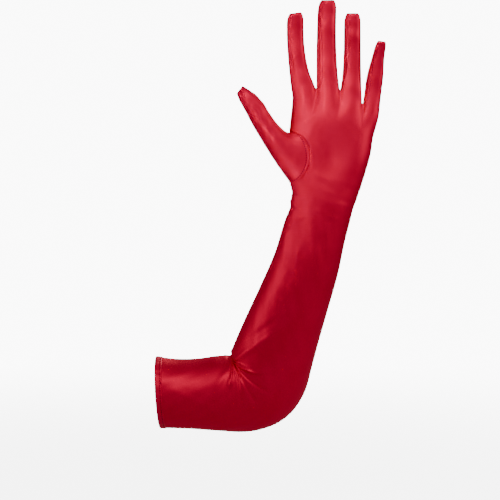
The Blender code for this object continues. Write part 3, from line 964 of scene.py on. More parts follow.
@dataclass
class GloveBody:
    """The glove's main cloth: sleeve, palm and back of the hand and the finger faces, one welded skin.

    Attributes:
        shape: the glove's form.
        columns: quads across one face of a finger.
        palm_rows: quads up the hand.
        sleeve_rows: quads along the upper arm, the elbow and the forearm.
        wall: the cloth's thickness as drawn.
        sewn_start: how far from the hem's edge the sleeve's cloth starts, inside the hem band.
        seam: how the cloth lies beside its seams.
        flatness: how far the middle of a finger's face lies below its ellipse.
        flat_fades: shares of the finger over which that starts at the root and ends at the tip.
        tip_seam: depth of the seam over a fingertip.
        tip_seam_reach: the seam's width as a share of the finger.
        finger_drag: fine drag lines over the fingers.
        long_drape: the sleeve's long ripples one way.
        cross_drape: the sleeve's long ripples the other way.
        wrist_ripple: fine ripples round the wrist.
        wrist_reach: how far they reach down the sleeve and up the hand.
        box_powers: how square the hand's section is, at its edges and over its middle.
        wrist_blend: the share of the hand over which it grows out of the sleeve's section.
        root_blend: the share over which it grows into the finger roots.
        oval_depth: how deep the cloth dips at the thumb's oval.
        oval_width: the dip's width outside the oval.
        oval_slope: how steeply the cloth goes on down inside it.
        oval_floor: how far down at most.
        oval_roll: height of the roll beside the oval.
        oval_roll_place: the roll's distance from it.
        oval_roll_width: the roll's width.
        oval_margin: how far inside the oval the cloth is cut.
        edge_span: the heights up the hand between which its thumb edge is measured.
        edge_places: at how many heights.
        skin: the welded cloth.
        edge_heights: heights up the hand at which its thumb edge was measured.
        edges: the thumb edge at each of them, as hand coordinate across.
    """

    shape: GloveShape
    columns: int = 18
    palm_rows: int = 60
    sleeve_rows: tuple[int, int, int] = (30, 66, 88)
    wall: float = 0.0006
    sewn_start: float = 0.0050
    seam: Seam = Seam()
    flatness: float = 0.0012
    flat_fades: tuple[float, float] = (0.3, 0.1)
    tip_seam: float = 0.00030
    tip_seam_reach: float = 0.012
    finger_drag: Ripple = Ripple(0.00009, 4, 0.007, 0.016, 0.5)
    long_drape: Ripple = Ripple(0.00030, 4, 0.030, 0.075, 0.8)
    cross_drape: Ripple = Ripple(0.00030, 3, 0.024, 0.060, -1.6)
    wrist_ripple: Ripple = Ripple(0.00014, 4, 0.006, 0.013, 0.25)
    wrist_reach: tuple[float, float] = (0.022, 0.020)
    box_powers: tuple[float, float] = (2.4, 2.2)
    wrist_blend: float = 0.42
    root_blend: float = 0.34
    oval_depth: float = 0.00045
    oval_width: float = 0.0010
    oval_slope: float = 0.7
    oval_floor: float = 0.003
    oval_roll: float = 0.00014
    oval_roll_place: float = 0.0022
    oval_roll_width: float = 0.0012
    oval_margin: float = 0.0022
    edge_span: tuple[float, float] = (0.002, 0.080)
    edge_places: int = 79
    skin: Skin = field(init=False)
    edge_heights: Array = field(init=False)
    edges: Array = field(init=False)

    def finger_face(self, finger: int, side: Side) -> Patch:
        """A finger's palm or back face: root to tip by thumb side to little-finger side.

        The rise adds the seams, the flattening, the pads, fine drag lines and the hand's relief. What acts on
        the middle of the face follows the squared sine of the angle round the finger.

        Args:
            finger: 0 for the index finger to 3 for the little finger.
            side: which face.

        Returns:
            The face's grid.
        """
        shape = self.shape
        share = shape.finger_rows()[:, None]
        first, last = shape.side_seams(finger, share)
        angle = first + (last - first) * crowded_ends(self.columns + 1, 0.4)
        points = shape.finger_points(finger, share, side.value * -angle)
        across, height, _ = shape.hand_coordinates(points)
        half_width = shape.finger_widths(finger, share)[0]
        run = shape.finger_length * share + 0 * angle
        middle = np.sin(-angle) ** 2
        rise = self.seam.lift((last - angle) * half_width, run, Seed.LITTLE_SIDE_SEAM + finger)
        if finger > 0:
            rise += self.seam.lift((angle - first) * half_width, run, Seed.THUMB_SIDE_SEAM + finger)
        rise -= self.tip_seam * bell(1.0 - share, self.tip_seam_reach)
        at_root, at_tip = self.flat_fades
        rise -= self.flatness * middle**2 * smooth(share / at_root) * smooth((1.0 - share) / at_tip)
        if side is Side.PALM:
            for _, place, reach, pad in FINGER_PADS[FINGER_PADS[:, 0] == finger]:
                rise += pad * bell(share - place, reach) * middle
        rise += self.finger_drag.lift(run, across, Seed.FINGER_DRAG + finger) * middle
        rise += relief(HAND_RELIEF[side], across, height, shape)
        return Patch(points, across, height + HAND_START, rise)

    def plain_hand(self, share: Array, around: Array, root: Array, side: Side) -> Array:
        """The hand as a rounded box between the two edges of its sections, without its transitions.

        A column's place runs from -1 at the thumb edge to 1 at the little edge. It goes evenly from minus
        the cosine of its angle at the wrist to where the finger roots have it. The depth at a place is the
        section's depth times a rounded bulge: 1 less the place to the first of the box powers, and that to
        one over the second.

        Args:
            share: how far up from the wrist to the finger roots, as a column.
            around: the columns' angles at the wrist.
            root: the finger roots' points.
            side: palm or back.

        Returns:
            The points.
        """
        shape = self.shape
        root_across, root_height, _ = shape.hand_coordinates(root)
        height = share * root_height
        level, root_level = height / shape.palm_length, root_height / shape.palm_length
        thumb_edge, little_edge, depth = (along_table(PALM_SECTIONS, n, level) for n in (1, 2, 3))
        root_thumb, root_little = (along_table(PALM_SECTIONS, n, root_level) for n in (1, 2))
        root_place = 2 * root_across / shape.palm_width - root_thumb - root_little
        root_place = np.clip(root_place / (root_little - root_thumb), -1, 1)
        place = (1 - share) * -np.cos(around) + share * root_place
        place[:, 0], place[:, -1] = -1.0, 1.0
        across = ((1 - place) * thumb_edge + (1 + place) * little_edge) / 2 * shape.palm_width
        bulge = (1 - np.abs(place) ** self.box_powers[0]) ** (1 / self.box_powers[1])
        ease = height * np.clip(1 - height / shape.wrist_ease_height, 0.0, 1.0) ** 2
        lean = 3 * shape.wrist_ease / shape.forearm_length - math.tan(math.radians(shape.arm_lean))
        return shape.in_hand(across, height, side.value * depth * shape.palm_depth * bulge + lean * ease)

    def palm_face(self, side: Side) -> Patch:
        """The palm or the back of the hand: wrist to finger roots by thumb side to little-finger side.

        The plain hand is drawn onto the sleeve's last row below and onto the finger roots above, each by a
        soft step.

        Args:
            side: palm or back.

        Returns:
            The face's grid.
        """
        shape = self.shape
        root = np.vstack([self.finger_face(finger, side).points[0] for finger in range(len(FINGERS))])
        around = -math.pi * np.linspace(0, 1, len(root))
        wrist = shape.sleeve_points(np.full(len(root), 3.0), side.value * -around)
        share = np.linspace(0, 1, self.palm_rows + 1)[:, None]
        to_root = smooth(1 - (1 - share) / self.root_blend)[..., None]
        from_wrist = 1 - smooth(share / self.wrist_blend)[..., None]
        at_wrist, at_root = self.plain_hand(np.array((0.0, 1.0))[:, None], around, root, side)
        plain = self.plain_hand(share, around, root, side)
        points = plain + to_root * (root - at_root) + from_wrist * (wrist - at_wrist)
        across, height, _ = shape.hand_coordinates(points)
        rise = self.seam.lift(np.linalg.norm(points - points[:, -1:], axis=2), height, Seed.HAND_SIDE_SEAM)
        rise += relief(HAND_RELIEF[side], across, height, shape)
        if side is Side.PALM:
            rise += creases(PALM_CREASES, across, height, shape)
        rise += self.wrist_ripple.lift(height, across, Seed.WRIST) * bell(height, self.wrist_reach[1])
        return Patch(points, across, height + HAND_START, rise)

    def sleeve_face(self, side: Side) -> Patch:
        """The palm side or back side of the sleeve: hem to wrist by crook side to elbow side.

        Args:
            side: palm or back.

        Returns:
            The face's grid.
        """
        shape = self.shape
        around = -math.pi * np.linspace(0, 1, (self.columns + 1) * len(FINGERS))[None, :]
        legs = [np.linspace(start, start + 1, rows + 1) for start, rows in enumerate(self.sleeve_rows)]
        legs[0] = np.linspace(self.sewn_start / shape.upper_arm_length, 1, self.sleeve_rows[0] + 1)
        station = np.concatenate((legs[0][:-1], legs[1][:-1], legs[2]))[:, None]
        points = shape.sleeve_points(station, side.value * -around)
        along = shape.distance_of(station) + 0 * around
        cloth = around * shape.arm_radius + 0 * station
        rise = self.seam.lift(math.pi * shape.arm_radius + cloth, along, Seed.SLEEVE_SIDE_SEAM)
        drape = self.long_drape.lift(along, cloth, Seed.LONG_DRAPE + side.value)
        drape += self.cross_drape.lift(along, cloth, Seed.CROSS_DRAPE + side.value)
        rise += drape * np.sin(-around) ** 2
        ripple = self.wrist_ripple.lift(along, cloth, Seed.WRIST) * np.sin(-around)
        rise += ripple * bell(along - along[-1, 0], self.wrist_reach[0])
        return Patch(points, cloth, along, rise)

    def sewing_lines(self, side: Side) -> list[Array]:
        """The sewing lines of the three strips over one side, each down a finger and up the next.

        Args:
            side: palm or back.

        Returns:
            A polyline near the cloth for each strip.
        """
        shape = self.shape
        share = np.linspace(0.0, 0.93, 80)
        seam = shape.seam_angle(share)
        lines = []
        for finger, (before, after) in enumerate(STITCH_INSETS * 2 / shape.finger_width):
            down = shape.finger_points(finger, share, side.value * (seam + before))
            inset = after * smooth(share / 0.12 + 0.3)
            up = shape.finger_points(finger + 1, share, math.pi - side.value * (seam + inset))
            lines.append(np.vstack((down[::-1], up)))
        return lines

    def build(self, satin: bpy.types.Material, reverse: bpy.types.Material) -> None:
        """Make the welded skin, lift its detail, sink it round the thumb's oval and cut the oval out.

        Args:
            satin: the outside's finish.
            reverse: the finish of the side towards the hollow.
        """
        patches = []
        for side in Side:
            patches += [self.sleeve_face(side), self.palm_face(side)]
            patches += [self.finger_face(finger, side) for finger in range(len(FINGERS))]
        self.skin = skin_object("glove_body", patches, satin, reverse)
        self.skin.lift()
        self.measure_edge()
        self.cut_oval()
        thicken(self.skin.thing, self.wall)
        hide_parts("palm_side", "back_side")

    def measure_edge(self) -> None:
        """Find the skin's thumb edge at heights up the hand, with rays from the hand's middle."""
        tree = search_tree(self.skin.thing)
        _, across, _, _ = self.shape.hand_axes()
        self.edge_heights = np.linspace(*self.edge_span, self.edge_places)
        starts = self.shape.in_hand(0.0, self.edge_heights, -0.001)
        hits = np.array([tree.ray_cast(Vector(start), Vector(-across))[0] for start in starts])
        self.edges = self.shape.hand_coordinates(hits)[0]

    def edge(self, height: Array) -> Array:
        """The skin's thumb edge at a height, as hand coordinate across."""
        return np.interp(height, self.edge_heights, self.edges)

    def from_oval(self, points: Array) -> Array:
        """Signed distance from the thumb's oval, negative inside it: the ellipse's radius less one, scaled.

        Args:
            points: world points.

        Returns:
            The distance in metres, and a large one for points that are nowhere near the oval's height.
        """
        shape = self.shape
        across, height, _ = shape.hand_coordinates(points)
        half = shape.hole_height / 2
        sideways = (across - self.edge(height)) / shape.hole_reach
        upward = (height - shape.hole_foot - half) / half
        reach = (np.hypot(np.maximum(sideways, 0), upward) - 1.0) * (shape.hole_reach + half) / 2
        return np.where((height > -0.02) & (height < 0.09), reach, 0.05)

    def cut_oval(self) -> None:
        """Sink the skin along the thumb's oval and take out what lies well inside, under the thumb."""
        points, normals, _ = self.skin.read()
        reach = self.from_oval(points)
        inside = self.oval_slope * np.minimum(reach, 0) - self.oval_depth
        dip = np.where(reach > 0, -self.oval_depth * bell(reach, self.oval_width), inside)
        roll = self.oval_roll * bell(reach - self.oval_roll_place, self.oval_roll_width)
        self.skin.write(points + normals * (np.maximum(dip, -self.oval_floor) + roll)[:, None])
        opened = bmesh.new()
        opened.from_mesh(self.skin.thing.data)
        opened.verts.ensure_lookup_table()
        gone = [opened.verts[n] for n in np.flatnonzero(reach < -self.oval_margin)]
        bmesh.ops.delete(opened, geom=gone, context="VERTS")
        opened.to_mesh(self.skin.thing.data)
        opened.free()


@dataclass
class Fourchette:
    """The strip between two fingers, down one side, through the crotch and up the other.

    Attributes:
        body: the glove's main cloth.
        finger: the finger on the thumb's side of the strip.
        names: the two fingers' names.
        columns: quads across the strip.
    """

    body: GloveBody
    finger: int
    names: tuple[str, str]
    columns: int = 12

    def build(self, satin: bpy.types.Material, reverse: bpy.types.Material) -> None:
        """Make the strip as one welded skin with a wall towards the hollow.

        A row is an arc of a finger's ellipse between its two seams, down one finger and up the next.

        Args:
            satin: the outside's finish.
            reverse: the finish of the side towards the hollow.
        """
        shape = self.body.shape
        share = shape.finger_rows()
        share = share[share <= shape.fourchette_point][:, None]
        across = crowded_ends(self.columns + 1, 0.3)[None, :] * 2 - 1
        angle = shape.seam_angle(share)
        down = shape.finger_points(self.finger, share, across * angle)
        up = shape.finger_points(self.finger + 1, share, math.pi - across * angle)
        points = np.vstack((down[::-1], up))
        run = np.vstack((-share[::-1], share)) * shape.finger_length + 0 * across
        half_width = np.vstack((angle[::-1], angle)) * shape.finger_depth / 2
        rise = self.body.seam.lift(half_width * (1.0 - np.abs(across)), run, Seed.STRIP_SEAM + self.finger)
        name = "fourchette_" + "_".join(self.names)
        skin = skin_object(name, [Patch(points, points[..., 1], run, rise)], satin, reverse)
        skin.face_away(shape.in_hand(0.0, shape.palm_length / 2, 0.0))
        skin.lift()
        thicken(skin.thing, self.body.wall)
        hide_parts(name)


@dataclass
class Thumb:
    """The thumb, from the oval it is sewn into to its squared tip, one welded skin.

    Attributes:
        body: the glove's main cloth, whose skin carries the oval.
        columns: points up one side of the oval.
        rows: rows over the sewn edge, the thumb and the tip.
        edge_share: the share of the thumb that the sewn edge's rows take.
        tip_start: the share where the tip starts to close.
        blend: the share over which the oval turns into the thumb's own section.
        edge_radius: the oval's mean radius, for the cloth coordinate along it.
        sewing: how far the sewing lies from the oval's edge.
        roll: height of the folded edge that lies on the palm.
        groove: depth of the seam beside it.
        gathers: height of the puckers all round the edge.
        web_gathers: how much higher they are towards the web.
        web_angle: where round the thumb these lie, in radians from its inner side.
        web_reach: how far round they reach, in radians.
        drag: fine drag lines over it.
        tip_seam: depth of the seam over the tip.
        base: the oval on the body's skin.
        sewn: the line of the sewing.
        skin: the welded cloth.
    """

    body: GloveBody
    columns: int = 44
    rows: tuple[int, int, int] = (30, 60, 14)
    edge_share: float = 0.14
    tip_start: float = 0.84
    blend: float = 0.32
    edge_radius: float = 0.020
    sewing: float = 0.0026
    roll: float = 0.00055
    groove: float = 0.00025
    gathers: float = 0.00007
    web_gathers: float = 0.00060
    web_angle: float = 0.50
    web_reach: float = 0.42
    drag: Ripple = Ripple(0.00009, 4, 0.010, 0.024, 0.3)
    tip_seam: float = 0.00030
    base: Array = field(init=False)
    sewn: Array = field(init=False)
    skin: Skin = field(init=False)

    def shares(self) -> Array:
        """Rows of the thumb: crowded at the sewn edge, even after it, then by the sine of even angles.

        Returns:
            Their shares of the thumb.
        """
        edge = self.edge_share * np.linspace(0, 1, self.rows[0]) ** 1.4
        even = np.linspace(self.edge_share, self.tip_start, self.rows[1])[1:-1]
        tip = self.tip_start + (1 - self.tip_start) * np.sin(np.linspace(0, math.pi / 2, self.rows[2]))
        return np.concatenate((edge, even, tip))

    def find_base(self) -> None:
        """Find where the oval lies on the body's skin, up the palm side and then down the back side."""
        shape, tree = self.body.shape, search_tree(self.body.skin.thing)
        across, height = shape.hole_outline(self.body.edge, self.columns)
        loops = []
        for side in Side:
            starts = shape.in_hand(across + 0.0004, height, side.value * shape.palm_depth * 2)
            ray = Vector((0.0, -side.value, 0.0))
            loops.append(np.array([tree.ray_cast(Vector(start), ray)[0] for start in starts[1:-1]]))
        ends = shape.in_hand(across[[0, -1]], height[[0, -1]], 0.0)
        ends[:, 1] = (loops[0][[0, -1], 1] + loops[1][[0, -1], 1]) / 2
        self.base = np.vstack((ends[:1], loops[0], ends[1:], loops[1][::-1]))

    def tube(self, share: Array, around: Array) -> Array:
        """The thumb as a tube along a leaning line.

        A point lies between its section's outer and inner edge, by the sine of its angle, and off that line
        by the section's half depth times the cosine. The half depth closes as a quarter of an ellipse.

        Args:
            share: places along the thumb.
            around: radians round it, a quarter turn on its inner side.

        Returns:
            The points.
        """
        shape = self.body.shape
        lean = math.radians(shape.thumb_angle)
        scales = (shape.thumb_length, shape.thumb_width, shape.thumb_length, shape.thumb_width)
        sections = (along_table(THUMB_SECTIONS, n + 1, share) * scale for n, scale in enumerate(scales))
        outer, outer_off, inner, inner_off = sections
        close = np.clip((share - self.tip_start) / (1 - self.tip_start), 0.0, 1.0)
        depth = along_table(THUMB_SECTIONS, 5, share) * shape.thumb_depth / 2 * np.sqrt(1 - close**2)
        inward = (1 + np.sin(around)) / 2
        run = outer + (inner - outer) * inward
        off = outer_off + (inner_off - outer_off) * inward
        across = self.body.edge(shape.hole_foot) - run * math.sin(lean) + off * math.cos(lean)
        height = shape.hole_foot + run * math.cos(lean) + off * math.sin(lean)
        forward = outer * math.sin(math.radians(shape.thumb_forward))
        return shape.in_hand(across, height, -depth * np.cos(around) - forward)

    def rise(self, share: Array, around: Array, from_edge: Array) -> Array:
        """Lift of the thumb's cloth: its folded edge, the seam, puckers, drag lines and the tip's seam.

        Args:
            share: places along the thumb.
            around: radians round it.
            from_edge: distances from the sewn edge.

        Returns:
            The lift in metres.
        """
        along_edge = around * self.edge_radius + 0 * share
        lift = self.roll * bell(from_edge - 0.0011, 0.0008) - self.groove * bell(from_edge, 0.0006)
        web = bell(np.abs(around - math.pi / 2) - self.web_angle, self.web_reach)
        fading = np.exp(-from_edge / 0.0050) * smooth(from_edge / 0.0012)
        waves = seeded_waves(along_edge, 5, 0.0030, 0.0062, Seed.THUMB_GATHERS)
        lift += (self.gathers + self.web_gathers * web) * waves * fading
        lift += self.drag.lift(from_edge, along_edge, Seed.THUMB_DRAG) * smooth(from_edge / 0.006)
        return lift - self.tip_seam * bell(1 - share, 0.014)

    def build(self, satin: bpy.types.Material, reverse: bpy.types.Material) -> None:
        """Make the thumb: each row a closed ring that turns from the oval into the tube.

        Args:
            satin: the outside's finish.
            reverse: the finish of the side towards the hollow.
        """
        self.find_base()
        share = self.shares()[:, None]
        around = np.linspace(-math.pi / 2, 3 * math.pi / 2, len(self.base) + 1)[None, :]
        away = 1 - np.clip(1 - share / self.blend, 0.0, 1.0)[..., None] ** 2
        points = (1 - away) * np.vstack((self.base, self.base[:1])) + away * self.tube(share, around)
        points[:, -1] = points[:, 0]
        steps = np.linalg.norm(np.diff(points, axis=0), axis=2)
        from_edge = np.vstack((np.zeros((1, points.shape[1])), np.cumsum(steps, axis=0)))
        self.sewn = points[np.argmin(np.abs(from_edge.mean(axis=1) - self.sewing))]
        rise = self.rise(share, around, from_edge)
        cloth = around * self.edge_radius + 0 * share
        self.skin = skin_object("thumb", [Patch(points, cloth, from_edge, rise)], satin, reverse)
        self.skin.lift()
        thicken(self.skin.thing, self.body.wall)
        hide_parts("thumb_palm_side", "thumb_back_side")


@dataclass
class Hem:
    """The doubled and turned edge at the arm opening, a closed ring that rides a little over the sleeve.

    Attributes:
        shape: the glove's form.
        width: the band's width along the sleeve.
        thickness: of the doubled cloth.
        step: how far it stands over the sleeve's skin.
        sewing: how far its sewing lies from the hem's edge.
        sewn_depth: how deep the sewing sinks it.
        puckers: along it.
        columns: quads round the arm.
        profile: quads round the band's section.
    """

    shape: GloveShape
    width: float = 0.0065
    thickness: float = 0.0024
    step: float = 0.0005
    sewing: float = 0.0048
    sewn_depth: float = 0.00028
    puckers: Ripple = Ripple(0.00012, 5, 0.0040, 0.0110)
    columns: int = 240
    profile: int = 40

    def sewing_line(self, places: int = 400) -> Array:
        """The sewing line round the arm.

        Args:
            places: how many points.

        Returns:
            The line's points.
        """
        angle = np.linspace(0, 2 * math.pi, places)
        station = np.full(places, self.sewing / self.shape.upper_arm_length)
        return self.shape.sleeve_points(station, angle, self.step)

    def build(self, satin: bpy.types.Material) -> None:
        """Make the band: a flattened section carried round the arm, with a sunk line where it is sewn.

        The section is an ellipse squared up by powers of its cosine and sine below 1.

        Args:
            satin: its finish.
        """
        angle = np.linspace(0, 2 * math.pi, self.columns + 1)[:, None]
        turn = np.linspace(0, 2 * math.pi, self.profile + 1)[None, :]
        along = np.sign(np.cos(turn)) * np.abs(np.cos(turn)) ** 0.45
        out = np.sign(np.sin(turn)) * np.abs(np.sin(turn)) ** 0.6
        reach = (1 + along) / 2 * self.width + 0 * angle
        around = angle * self.shape.arm_radius + 0 * turn
        sewn = np.where(out > 0, bell(reach - self.sewing, 0.0007), 0.0)
        puckers = self.puckers.lift(angle * self.shape.arm_radius, 0.0, Seed.HEM)
        rise = self.step - self.thickness / 2 + out * self.thickness / 2 - self.sewn_depth * sewn
        rise = rise + np.maximum(out, 0) * puckers
        points = self.shape.sleeve_points(reach / self.shape.upper_arm_length, angle + 0 * turn, rise)
        skin = skin_object("hem_band", [Patch(points, around, reach, 0 * around)], satin)
        volume = bmesh.new()
        volume.from_mesh(skin.thing.data)
        inside_out = volume.calc_volume(signed=True) < 0
        volume.free()
        if inside_out:
            skin.thing.data.flip_normals()
        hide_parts("hem_band")


@dataclass
class Stitches:
    """Sewing: small oblong beads of thread half sunk into the cloth, joined into one piece.

    Attributes:
        name: the piece's name.
        pitch: from stitch to stitch.
        length: of the thread that shows.
        radius: of the thread.
        standing: how far a bead's middle stands over the cloth, as a share of its radius.
        rings: rings of a bead, its poles included.
        sides: corners of a ring.
    """

    name: str
    pitch: float = 0.0022
    length: float = 0.0014
    radius: float = 0.00034
    standing: float = 0.35
    rings: int = 5
    sides: int = 6

    def places(self, path: Array) -> Array:
        """Points at even steps along a polyline.

        Args:
            path: the polyline.

        Returns:
            The points, a pitch or a little more apart.
        """
        run = np.append(0.0, np.cumsum(np.linalg.norm(np.diff(path, axis=0), axis=1)))
        even = np.linspace(0.0, run[-1], max(int(run[-1] / self.pitch), 2) + 1)
        return np.stack([np.interp(even, run, path[:, axis]) for axis in range(3)], axis=1)

    def bead(self) -> tuple[Array, Array]:
        """One stitch along the first axis: a stretched sphere, blunted by a power below 1 of the sine.

        Returns:
            Its points and its quads, ring by ring.
        """
        polar = np.linspace(0, math.pi, self.rings)[:, None]
        turn = np.linspace(0, 2 * math.pi, self.sides + 1)[None, :-1]
        width = np.sin(polar) ** 0.7 * self.radius
        parts = (np.cos(polar) * self.length / 2, width * np.cos(turn), width * np.sin(turn))
        corner = np.arange(self.sides)
        beside = (corner + 1) % self.sides
        ring = np.stack((corner, beside, beside + self.sides, corner + self.sides), axis=1)
        quads = ring[None] + (np.arange(self.rings - 1) * self.sides)[:, None, None]
        return np.stack(np.broadcast_arrays(*parts), axis=-1).reshape(-1, 3), quads.reshape(-1, 4)

    def build(self, paths: list[Array], cloth: bpy.types.Object, thread: bpy.types.Material) -> None:
        """Set stitches along paths, each moved to the nearest cloth and turned along the path.

        The same bead is placed at every stitch at once.

        Args:
            paths: polylines near the cloth.
            cloth: the piece that is sewn.
            thread: the finish.
        """
        tree = search_tree(cloth)
        places = [self.places(path) for path in paths]
        found = [tree.find_nearest(Vector(middle)) for row in places for middle in (row[1:] + row[:-1]) / 2]
        centre, normal = np.array([hit[0] for hit in found]), np.array([hit[1] for hit in found])
        forward = np.vstack([np.diff(row, axis=0) for row in places])
        forward /= np.linalg.norm(forward, axis=1)[:, None]
        side = np.cross(forward, normal)
        side /= np.linalg.norm(side, axis=1)[:, None]
        up = np.cross(side, forward)
        bead, quads = self.bead()
        points = bead[None] @ np.stack((forward, side, up), axis=1)
        points += (centre + up * self.radius * self.standing)[:, None]
        faces = quads[None] + (np.arange(len(centre)) * len(bead))[:, None, None]
        mesh = bpy.data.meshes.new(self.name)
        mesh.from_pydata(points.reshape(-1, 3), [], faces.reshape(-1, 4))
        weld(mesh, 1e-7)
        thing = add_object(self.name, mesh, thread)


@dataclass(frozen=True)
class Wire:
    """A node's output that can be added, multiplied and so on as a number would be.

    Attributes:
        nodes: the tree it belongs to.
        socket: the output.
    """

    nodes: "Nodes"
    socket: bpy.types.NodeSocket

    def maths(self, operation: str, *values: "Wire | float") -> "Wire":
        """A Math node over some values.

        Args:
            operation: the node's operation.
            *values: its inputs in order.

        Returns:
            Its output.
        """
        return self.nodes.make("ShaderNodeMath", {"operation": operation}, dict(enumerate(values)))

    def __add__(self, other: "Wire | float") -> "Wire":
        """This plus the other."""
        return self.maths("ADD", self, other)

    def __sub__(self, other: "Wire | float") -> "Wire":
        """This less the other."""
        return self.maths("SUBTRACT", self, other)

    def __mul__(self, other: "Wire | float") -> "Wire":
        """This times the other."""
        return self.maths("MULTIPLY", self, other)

    def __radd__(self, other: float) -> "Wire":
        """A number plus this."""
        return self.maths("ADD", other, self)


@dataclass(frozen=True)
class Nodes:
    """A node tree under construction.

    Attributes:
        tree: the tree.
    """

    tree: bpy.types.NodeTree

    @staticmethod
    def of(owner: bpy.types.Material | bpy.types.World) -> "Nodes":
        """The emptied node tree of a material or world.

        Args:
            owner: the material or world.

        Returns:
            Its tree.
        """
        owner.use_nodes = True
        owner.node_tree.nodes.clear()
        return Nodes(owner.node_tree)

    def make(
        self, kind: str, settings: dict[str, Any], inputs: dict[Any, Any], output: int | str = 0
    ) -> Wire:
        """Add a node.

        Args:
            kind: the node's type.
            settings: its properties, set before its inputs.
            inputs: a value or a wire for each input, by number or name.
            output: which output to return.

        Returns:
            The output as a wire.
        """
        node = self.tree.nodes.new(kind)
        for name, value in settings.items():
            setattr(node, name, value)
        for key, value in inputs.items():
            if isinstance(value, Wire):
                self.tree.links.new(value.socket, node.inputs[key])
            else:
                node.inputs[key].default_value = value
        return Wire(self, node.outputs[output])

    def close(self, kind: str, surface: Wire) -> None:
        """Add the tree's output node and join its surface to it."""
        self.tree.links.new(surface.socket, self.tree.nodes.new(kind).inputs["Surface"])

    def object_place(self) -> Wire:
        """The place on the object in its own coordinates."""
        return self.make("ShaderNodeTexCoord", {}, {}, "Object")

    def noise(self, place: Wire, scale: float, detail: float) -> Wire:
        """Noise of about 0 to 1 at a place, with so many features to the metre and so much finer detail."""
        return self.make("ShaderNodeTexNoise", {}, {"Vector": place, "Scale": scale, "Detail": detail})

    def mix(self, share: Wire, first: Colour, second: Colour) -> Wire:
        """The colour at a share of the way from the first colour to the second."""
        return self.make("ShaderNodeMix", {"data_type": "RGBA"}, {0: share, 6: first, 7: second}, 2)

    def bump(self, height: Wire, strength: float) -> Wire:
        """The normal of a surface with a fine relief of a height in metres."""
        return self.make("ShaderNodeBump", {}, {"Strength": strength, "Distance": 1.0, "Height": height})


@dataclass(frozen=True)
class Satin:
    """Satin: a smooth, slightly metallic sheen over a deep colour, with a fine float of threads.

    Attributes:
        name: the finish's name.
        bright: the colour where the mottling is lightest.
        deep: the colour where it is darkest.
        roughness: of the sheen.
        metallic: how far the highlights take the cloth's colour.
        weave: height of the threads.
        threads: threads to the metre across them and floats to the metre along them.
    """

    name: str
    bright: Colour = (0.760, 0.0010, 0.054, 1.0)
    deep: Colour = (0.600, 0.0005, 0.030, 1.0)
    roughness: float = 0.49
    metallic: float = 0.62
    weave: float = 0.00003
    threads: tuple[float, float] = (2600.0, 420.0)

    def build(self) -> bpy.types.Material:
        """Make the material: the colour and the roughness follow soft mottling and the floating threads.

        Returns:
            The material.
        """
        made = bpy.data.materials.new(self.name)
        nodes = Nodes.of(made)
        cloth = nodes.make("ShaderNodeUVMap", {"uv_map": "cloth"}, {})
        place = nodes.object_place()
        threads = nodes.make("ShaderNodeMapping", {}, {"Vector": cloth, "Scale": (*self.threads, 1.0)})
        floats = nodes.noise(threads, 1.0, 1.0)
        mottling = nodes.noise(place, 55.0, 3.0)
        fine = nodes.noise(place, 420.0, 2.0)
        shader = nodes.make("ShaderNodeBsdfPrincipled", {}, {
            "Base Color": nodes.mix(mottling * 0.6 + floats * 0.4, self.deep, self.bright),
            "Roughness": self.roughness + (mottling - 0.5) * 0.10 + (floats - 0.5) * 0.08,
            "Metallic": self.metallic,
            "Specular IOR Level": 0.12,
            "Specular Tint": (1.0, 0.35, 0.45, 1.0),
            "Sheen Weight": 0.05,
            "Sheen Roughness": 0.35,
            "Sheen Tint": (1.0, 0.08, 0.14, 1.0),
            "Normal": nodes.bump(floats * self.weave + fine * (self.weave * 2.2), 0.6),
        })
        nodes.close("ShaderNodeOutputMaterial", shader)
        return made


@dataclass(frozen=True)
class Matte:
    """A dull fibre finish for the cloth's inside and the thread: mottled in colour, with a fine grain.

    Attributes:
        name: the finish's name.
        light: the colour of the raised fibres.
        dark: the colour between them.
        roughness: its mean roughness.
        grain: fibres to the metre.
        height: the fibres' height.
    """

    name: str
    light: Colour
    dark: Colour
    roughness: float
    grain: float
    height: float

    def build(self) -> bpy.types.Material:
        """Make the material: the colour follows fibres and mottling, the roughness the fibres alone.

        Returns:
            The material.
        """
        made = bpy.data.materials.new(self.name)
        nodes = Nodes.of(made)
        place = nodes.object_place()
        fibres = nodes.noise(place, self.grain, 2.0)
        mottling = nodes.noise(place, 60.0, 2.0)
        shader = nodes.make("ShaderNodeBsdfPrincipled", {}, {
            "Base Color": nodes.mix(fibres * 0.6 + mottling * 0.4, self.dark, self.light),
            "Roughness": self.roughness + (fibres - 0.5) * 0.12,
            "Specular IOR Level": 0.04,
            "Normal": nodes.bump(fibres * self.height, 0.5),
        })
        nodes.close("ShaderNodeOutputMaterial", shader)
        return made


@dataclass(frozen=True)
class Lamp:
    """A soft square light.

    Attributes:
        name: the light's name.
        place: where it stands.
        target: what it points at.
        size: the length of its side.
        power: in watts.
        spread: how wide its beam opens, in degrees.
    """

    name: str
    place: Place
    target: Place
    size: float
    power: float
    spread: float = 180.0

    def build(self) -> None:
        """Add the light."""
        data = bpy.data.lights.new(self.name, "AREA")
        data.size = self.size
        data.energy = self.power
        data.spread = math.radians(self.spread)
        thing = bpy.data.objects.new(self.name, data)
        thing.location = self.place
        thing.rotation_euler = (Vector(self.target) - Vector(self.place)).to_track_quat("-Z", "Y").to_euler()
        bpy.context.scene.collection.objects.link(thing)


